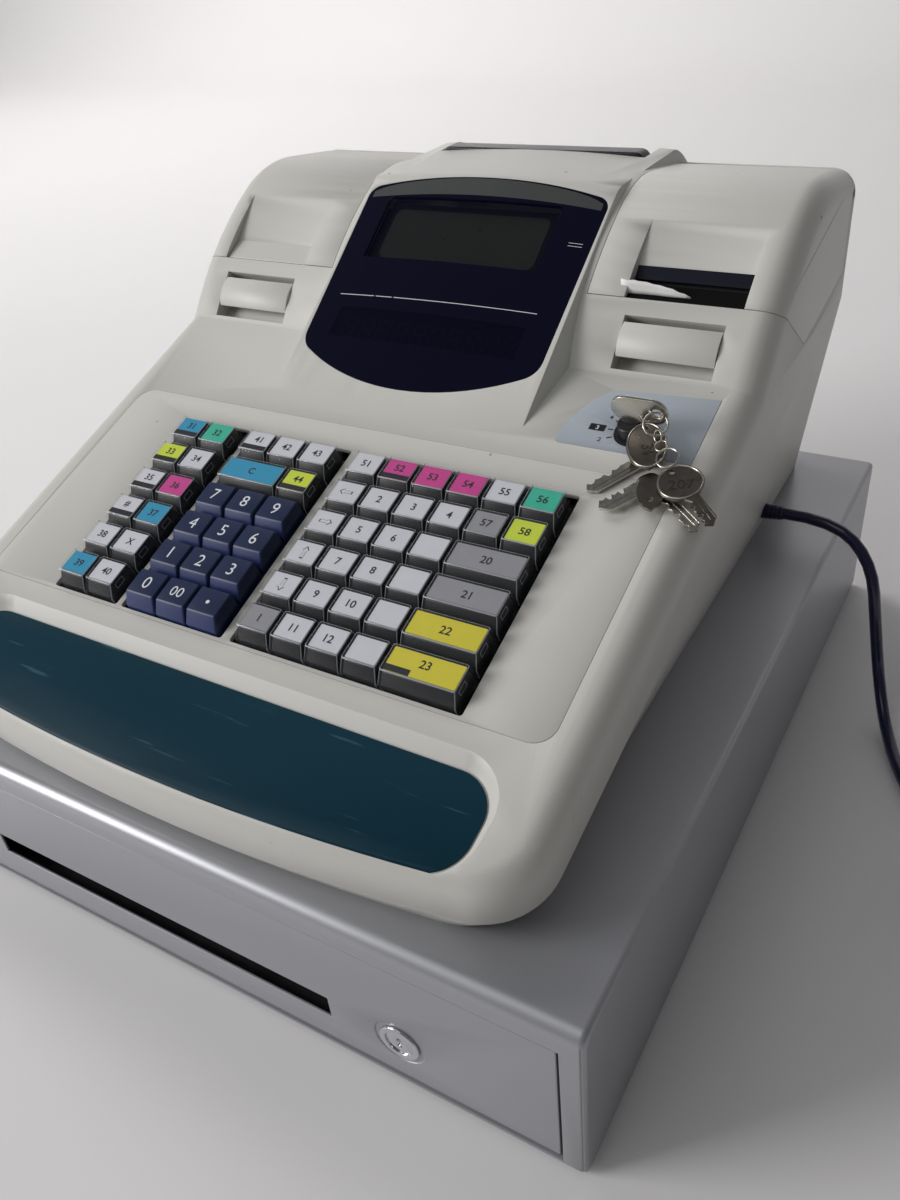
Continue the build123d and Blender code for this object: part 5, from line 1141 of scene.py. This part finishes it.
def digit_row():
    """Row of unlit seven-segment digits with their points."""
    digits = Shape(HUMP)
    low, high = DISPLAY_BACK + 0.1, DISPLAY_BACK + 0.2
    digits.plate(rounded(0, DIGIT_V, 112, 18, 0.8), DISPLAY_BACK, low, black_plastic())
    for place in range(10):
        u = -49.5 + place * 11.0
        for x0, y0, x1, y1 in SEGMENTS:
            half = math.hypot(x1 - x0, y1 - y0) / 2
            turn = math.degrees(math.atan2(y1 - y0, x1 - x0))
            bar = [(-half, 0), (-half + 0.6, -0.6), (half - 0.6, -0.6), (half, 0), (half - 0.6, 0.6),
                   (-half + 0.6, 0.6)]
            middle = u + (x0 + x1) / 2 + DIGIT_LEAN * (y0 + y1) / 2, DIGIT_V + (y0 + y1) / 2
            digits.plate(turned(bar, turn, *middle), low, high, unlit_segment())
        digits.plate(disc(u + 4.9, DIGIT_V - 6.3, 0.7, 10), low, high, unlit_segment())
    digits.piece("digit_row", "cabinet", "visor_glass")


def visor_print():
    """Printed rule above the digits, in three lengths, and two dashes beside the upper display."""
    lines = []
    start, end = RULE[0][0], RULE[-1][1]
    for left, right in RULE:
        steps = max(2, int((right - left) / 6))
        across = [left + (right - left) * k / steps for k in range(steps + 1)]
        lines.append(([(u, RULE_V + (u - start) / (end - start) * RULE_RISE) for u in across], RULE_HALF))
    lines += [([(61 + 2.6 * k, v) for k in range(4)], DASH_HALF) for v in DASHES_V]
    ink = Shape(HUMP)
    for line, half in lines:
        ink.sheet([[(u, v + side * half, hump_height(u) + PRINT_LIFT) for side in (-1, 1)] for u, v in line],
                  white_print())
    ink.piece("visor_print", "cabinet", "visor_glass")


def brow_band():
    """Matt grey band of painted reflection along the visor's upper edge, arched above and below."""
    glare = Shape(HUMP)
    rows, steps = [], 32
    for k in range(steps + 1):
        u = GLARE_HALF * (2 * k / steps - 1)
        arch = 1 - (u / GLARE_ARCH) ** 2
        top = GLARE_TOP + GLARE_TOP_RISE * arch - GLARE_CORNER_DROP * (abs(u) / GLARE_HALF) ** 10
        low = GLARE_LOW + GLARE_LOW_RISE * arch
        rows.append([(u, low + (top - low) * share, hump_height(u) + PRINT_LIFT) for share in (0, 0.5, 1)])
    glare.sheet(rows, visor_brow())
    glare.piece("visor_brow", "cabinet", "visor_glass")


class REGISTER_OT_displays(RegisterOperator, Operator):
    """Make the operator display behind its visor and the customer display"""
    bl_idname = "register.displays"
    bl_label = "Displays"

    def execute(self, context):
        glass = visor_glass()
        clear_windows(glass, WINDOWS)
        dress("visor", glass)
        dress("customer_display", display_case(), bevel=0.5)
        lcd_panel()
        digit_row()
        visor_print()
        brow_band()
        return {"FINISHED"}


# ---------------------------------------------------------------------------
# Mode lock and keys, on the plane at the lock
# ---------------------------------------------------------------------------

KEY_THICK = 1.4
MARK_LOW, MARK_HIGH, MARK_HEIGHT = 0.2, 0.24, 3.6
TICK = ((9.6, -0.35), (12.2, -0.35), (12.2, 0.35), (9.6, 0.35))
NUMBER_REACH, BOX_REACH = 15.5, 17.5
# position numbers with the angle at which each stands; the one at BOXED is white in a dark box
POSITIONS = ((4, 150), (3, 180), (2, 208), (1, 20))
BOXED = 3


def key_blank(shape, u, v, low, turn, bow, blade, teeth, hole, material):
    """Flat key with an oval bow, a hole in the bow and a slim blade with cut teeth and two raised lines."""
    (bow_length, bow_width), (length, width) = bow, blade
    end, half = bow_length / 2, width / 2
    neck = [p for p in oval(bow_length, bow_width) if p[0] < end - 1.0]
    upper = sorted(p for p in neck if p[1] >= 0)
    lower = sorted((p for p in neck if p[1] < 0), reverse=True)
    back = [(end - 1.0, half), (end + length - half, half), (end + length, 0)]
    cut = []
    x = end + length - half * 0.6
    for depth in teeth:
        step = (length - half) / len(teeth)
        cut += [(x, 0.2 - half), (x - step * 0.35, depth - half), (x - step * 0.65, depth - half)]
        x -= step
    cut.append((end - 1.0, -half))
    top = low + KEY_THICK
    shape.pierced(turned(upper + back + cut + lower, turn, u, v),
                  turned(disc(hole[0], 0, hole[1], 16), turn, u, v), low, top, material)
    if length > 4:
        for near, far in ((0.1, 0.7), (half - 1.0, half - 0.4)):
            raised = [(end + 1, near), (end + length - 2.5, near), (end + length - 2.5, far), (end + 1, far)]
            shape.plate(turned(raised, turn, u, v), top, top + 0.3, material)


def position_marks():
    """Plain position numbers and ticks round the lock."""
    marks = Shape(LOCK)
    ink = black_print()
    for number, angle in POSITIONS:
        marks.plate(turned(TICK, angle), MARK_LOW, MARK_HIGH, ink)
        if number == BOXED:
            marks.plate(rounded(-BOX_REACH, 0, 8.0, 4.2, 0.4), MARK_LOW, MARK_HIGH, ink)
            marks.glyphs(str(number), -BOX_REACH, 0, MARK_HIGH, MARK_HEIGHT, white_print())
        else:
            u, v = turned([(NUMBER_REACH, 0)], angle)[0]
            marks.glyphs(str(number), u, v, MARK_LOW, MARK_HEIGHT, ink)
    marks.piece("mode_marks", "cabinet", "plate_blue")


# keys and tags on the rings: place and height, angle, bow, blade, teeth, and the hole's place and radius
BRIGHT_KEYS = (
    (13.3, -14.3, 1.0, -126.0, (14.0, 12.0), (25.5, 7.0), (1.8, 0.9, 2.4, 1.1, 0.4), (0, 1.5)),
    (20.0, -31.0, 2.7, -129.0, (12.0, 11.0), (19.0, 8.0), (1.0, 2.6, 1.2, 2.9, 0.6), (0, 1.5)),
    (27.0, -35.0, 2.7, -36.0, (10.0, 10.0), (22.5, 6.6), (1.4, 0.6, 2.1, 1.0, 1.7), (0, 1.5)),
)
DARK_KEYS = (
    (23.0, -36.5, 4.4, -69.5, (21.0, 12.0), (1.0, 6.0), (), (5.5, 1.3)),
    (34.4, -30.7, 6.4, -42.0, (20.6, 20.6), (18.0, 6.6), (1.0, 2.2, 0.7, 1.6, 2.0), (-7.2, 1.4)),
    (13.3, -14.3, 8.0, -64.7, (28.5, 18.4), (0.6, 6.0), (), (-11.2, 1.5)),
)
# raised rims: place and height, angle, and the oval's length and width
RIMS = ((34.4, -30.7, 7.85, -42.0, 19.0, 19.0), (13.3, -14.3, 9.45, -64.7, 27.2, 17.0))
# numbers cut into the round bow and the tag: place and height, and angle
ENGRAVED = (("207", 35.4, -31.8, 7.8, 20), ("31", 14.6, -16.6, 9.4, -62))
# rings: middle, two directions in their plane, radius and wire radius
RINGS = (
    ((14.2, -4.8, 13.2), (-0.13, 0.89, 0.43), (0.95, 0.22, -0.2), 5.4, 0.6),
    ((17.3, -10.6, 11.8), (0.5, -0.7, -0.4), (0.3, 0.3, 0.9), 2.8, 0.4),
    ((20.6, -15.2, 11.2), (0.6, -0.8, 0.0), (0.75, 0.55, 0.1), 2.9, 0.4),
    ((25.3, -20.8, 10.4), (0.66, -0.74, -0.1), (0.72, 0.66, 0.2), 4.9, 0.55),
)


def loose_keys():
    """Keys and tags that hang from the mode key on a chain of rings."""
    bunch = Shape(LOCK)
    for keys, metal in ((BRIGHT_KEYS, nickel()), (DARK_KEYS, dark_nickel())):
        for key in keys:
            key_blank(bunch, *key, metal)
    for u, v, w, turn, length, width in RIMS:
        rim = turned(oval(length, width, 40), turn, u, v)
        bunch.tube([(x, y, w) for x, y in rim], 0.42, nickel())
    for text, u, v, w, turn in ENGRAVED:
        bunch.glyphs(text, u, v, w, 7.6, engraving(), turn=turn, lift=0.06)
    for centre, first, second, radius, wire in RINGS:
        one, two, middle = Vector(first).normalized(), Vector(second), Vector(centre)
        two = (two - one * two.dot(one)).normalized()
        bunch.tube([middle + (one * math.cos(a) + two * math.sin(a)) * radius for a in around(32)], wire,
                   nickel())
    bunch.piece("loose_keys", "mode_lock", "nickel", ["key_bunch"], sharp=30, bevel=0.16)


class REGISTER_OT_mode_lock(RegisterOperator, Operator):
    """Make the mode lock's printed plate and the keys hanging from it"""
    bl_idname = "register.mode_lock"
    bl_label = "Mode lock and keys"

    def execute(self, context):
        dress("mode_plate", mode_plate(), bevel=0.1)
        dress("mode_barrel", barrel_black(), bevel=0.2)
        dress("mode_key", nickel(), bevel=0.3)
        position_marks()
        loose_keys()
        return {"FINISHED"}


# ---------------------------------------------------------------------------
# Paper and the printers' mouths, with sections as (y, z) points
# ---------------------------------------------------------------------------

# black plate over the ledge in the receipt mouth: the printer's black plastic, and painted shade of the mouth
THROAT_X, THROAT_WIDTH = 100.0, 58.0
THROAT = ((82.6, 242.15), (72.9, 236.9), (72.9, 236.75), (82.6, 242.0))
TEAR_BAR_X, TEAR_BAR_WIDTH = 99.6, 58.8
TEAR_BAR = ((84.45, 243.6), (86.6, 246.2), (89.0, 248.9))
FLAP_X, FLAP_WIDTH = -158.6, 59.2
FLAP = ((85.2, 244.9), (79.0, 241.5), (73.4, 238.5), (73.2, 238.0), (79.2, 240.9), (85.4, 244.2))
STUB_Y = 76.6
STUB_LOW = 239.2
# torn edge of the stub, as x and height
TORN_EDGE = ((95.6, 246.4), (99.0, 245.9), (102.5, 246.3), (105.5, 245.8), (109.0, 245.7), (112.5, 244.9),
             (116.0, 244.7), (119.5, 244.0), (122.5, 243.6), (125.5, 242.2), (128.5, 241.6), (131.5, 240.2))
PAPER_THICK = 0.1
# the strip of paper ends just inside the mouth
STRIP_END_Y = 90.0


def torn_stub():
    """Torn end of the last receipt, slightly curled."""
    stub = Shape(Matrix.Translation((0, STUB_Y * MM, 0)) @ Matrix.Rotation(math.radians(90), 4, "X"))
    stub.sheet([[(x, STUB_LOW + (z - STUB_LOW) * share, 0.3 + 0.9 * share * share + 0.2 * math.sin(number))
                 for share in (0, 0.34, 0.67, 1)] for number, (x, z) in enumerate(TORN_EDGE)], paper())
    made = stub.piece("torn_paper", "receipt_lid", "paper")
    made.modifiers.new("paper_thickness", "SOLIDIFY").thickness = PAPER_THICK * MM


def paper_strip():
    """Strip of paper from the roll to the mouth, cut from the node that carries it."""
    node = NODES["receipt_paper"]
    held = bmesh.new()
    held.from_mesh(node.data)
    held.transform(node.matrix_world)
    bmesh.ops.bisect_plane(held, geom=held.verts[:] + held.edges[:] + held.faces[:],
                           plane_co=(0, STRIP_END_Y * MM, 0), plane_no=(0, 1, 0), clear_inner=True)
    data = bpy.data.meshes.new("paper_strip")
    held.to_mesh(data)
    held.free()
    data.materials.append(paper())
    mount(bpy.data.objects.new("paper_strip", data), "cabinet", ["receipt_paper"])


def cross_bar(name, body, slot, x, width, section, material):
    """Straight bar across the case from x, with a section of (y, z) points."""
    bar = Shape(sideways(x))
    bar.loft([(section, 0.0), (section, width)], material)
    bar.piece(name, body, slot)


class REGISTER_OT_paper(RegisterOperator, Operator):
    """Leave the torn stub of the last receipt in its mouth, and shut the journal's mouth"""
    bl_idname = "register.paper"
    bl_label = "Paper and mouths"

    def execute(self, context):
        torn_stub()
        paper_strip()
        # the throat plate is partly black plastic and partly painted shade
        cross_bar("mouth_throat", "cabinet", "black_plastic", THROAT_X, THROAT_WIDTH, THROAT, mouth_dark())
        section = [(y - 0.16, z + 0.16) for y, z in TEAR_BAR]
        section += [(y + 0.3, z - 0.3) for y, z in reversed(TEAR_BAR)]
        cross_bar("tear_bar", "receipt_lid", "black_plastic", TEAR_BAR_X, TEAR_BAR_WIDTH, section,
                  tear_bar_navy())
        cross_bar("journal_mouth_flap", "journal_lid", "body_plastic", FLAP_X, FLAP_WIDTH, FLAP,
                  body_plastic())
        return {"FINISHED"}


# ---------------------------------------------------------------------------
# Stage, in metres
# ---------------------------------------------------------------------------

STAGE_FRONT, STAGE_BACK = -3.5, 2.5
STAGE_HALF, STAGE_TOP = 4.5, 3.6
SWEEP, SWEEP_STEPS = 0.6, 12
SKY_COLOUR, SKY_STRENGTH = (0.95, 0.97, 1.0, 1), 0.13
# lamps: name, place, aim, size, power and colour
LAMPS = (
    ("window", (-2.1, -1.7, 1.3), (0, 0.1, 0.15), 1.3, 50, (1.0, 0.99, 0.985)),
    ("ceiling", (-0.6, -1.3, 2.3), (0, 0, 0.1), 1.6, 7, (1, 1, 1)),
    ("wall", (-2.0, 1.0, 2.2), (-1.0, 2.3, 0.3), 1.6, 42, (1.0, 0.98, 0.98)),
)


def set_backdrop():
    """Counter that sweeps up into a wall."""
    foot = STAGE_BACK - SWEEP
    profile = [(STAGE_FRONT, 0.0), (foot, 0.0)]
    for k in range(1, SWEEP_STEPS + 1):
        a = math.radians(90 * k / SWEEP_STEPS)
        profile.append((foot + SWEEP * math.sin(a), SWEEP - SWEEP * math.cos(a)))
    profile.append((STAGE_BACK, STAGE_TOP))
    data = bpy.data.meshes.new("backdrop")
    verts = [(x, y, z) for y, z in profile for x in (-STAGE_HALF, STAGE_HALF)]
    faces = [(2 * k, 2 * k + 1, 2 * k + 3, 2 * k + 2) for k in range(len(profile) - 1)]
    data.from_pydata(verts, [], faces)
    data.polygons.foreach_set("use_smooth", [True] * len(faces))
    data.materials.append(counter())
    backdrop = bpy.data.objects.new("backdrop", data)
    bpy.context.scene.collection.objects.link(backdrop)


def set_lamps():
    """Soft lamps; the one that lights the wall doesn't show in glossy surfaces."""
    for name, place, aim, width, power, tone in LAMPS:
        light = bpy.data.lights.new(name, "AREA")
        light.size = width
        light.energy = power
        light.color = tone
        lamp = bpy.data.objects.new(name, light)
        lamp.visible_glossy = name != "wall"
        lamp.location = place
        lamp.rotation_euler = (Vector(aim) - Vector(place)).to_track_quat("-Z", "Y").to_euler()
        bpy.context.scene.collection.objects.link(lamp)


class REGISTER_OT_stage(RegisterOperator, Operator):
    """Set out the counter, the backdrop and the lights"""
    bl_idname = "register.stage"
    bl_label = "Stage"

    def execute(self, context):
        context.scene.view_settings.view_transform = "Standard"
        set_backdrop()
        world = bpy.data.worlds.new("studio")
        world.use_nodes = True
        sky = world.node_tree.nodes["Background"]
        sky.inputs["Color"].default_value = SKY_COLOUR
        sky.inputs["Strength"].default_value = SKY_STRENGTH
        context.scene.world = world
        set_lamps()
        return {"FINISHED"}


# ---------------------------------------------------------------------------
# Panel and run
# ---------------------------------------------------------------------------

STEPS = (REGISTER_OT_camera, REGISTER_OT_cord, REGISTER_OT_number_keys, REGISTER_OT_label_keys,
         REGISTER_OT_case, REGISTER_OT_side_lines, REGISTER_OT_tray, REGISTER_OT_drawer, REGISTER_OT_displays,
         REGISTER_OT_mode_lock, REGISTER_OT_paper, REGISTER_OT_stage)


class REGISTER_PT_panel(Panel):
    """Lists the pieces and settings of the register"""
    bl_label = "Counter Register"
    bl_idname = "REGISTER_PT_panel"
    bl_space_type = "VIEW_3D"
    bl_region_type = "UI"
    bl_category = "Counter Register"

    def draw(self, context):
        for step in STEPS:
            self.layout.operator(step.bl_idname)
        for group in (context.scene.register_sizes, context.scene.register_colours):
            box = self.layout.box()
            for name in group.__annotations__:
                box.prop(group, name)


CLASSES = (RegisterSizes, RegisterColours, *STEPS, REGISTER_PT_panel)


def register():
    for kind in CLASSES:
        bpy.utils.register_class(kind)
    bpy.types.Scene.register_sizes = PointerProperty(type=RegisterSizes)
    bpy.types.Scene.register_colours = PointerProperty(type=RegisterColours)


def unregister():
    del bpy.types.Scene.register_colours
    del bpy.types.Scene.register_sizes
    for kind in reversed(CLASSES):
        bpy.utils.unregister_class(kind)


def main():
    register()
    for step in STEPS:
        group, name = step.bl_idname.split(".")
        getattr(getattr(bpy.ops, group), name)()


if __name__ == "__main__":
    main()
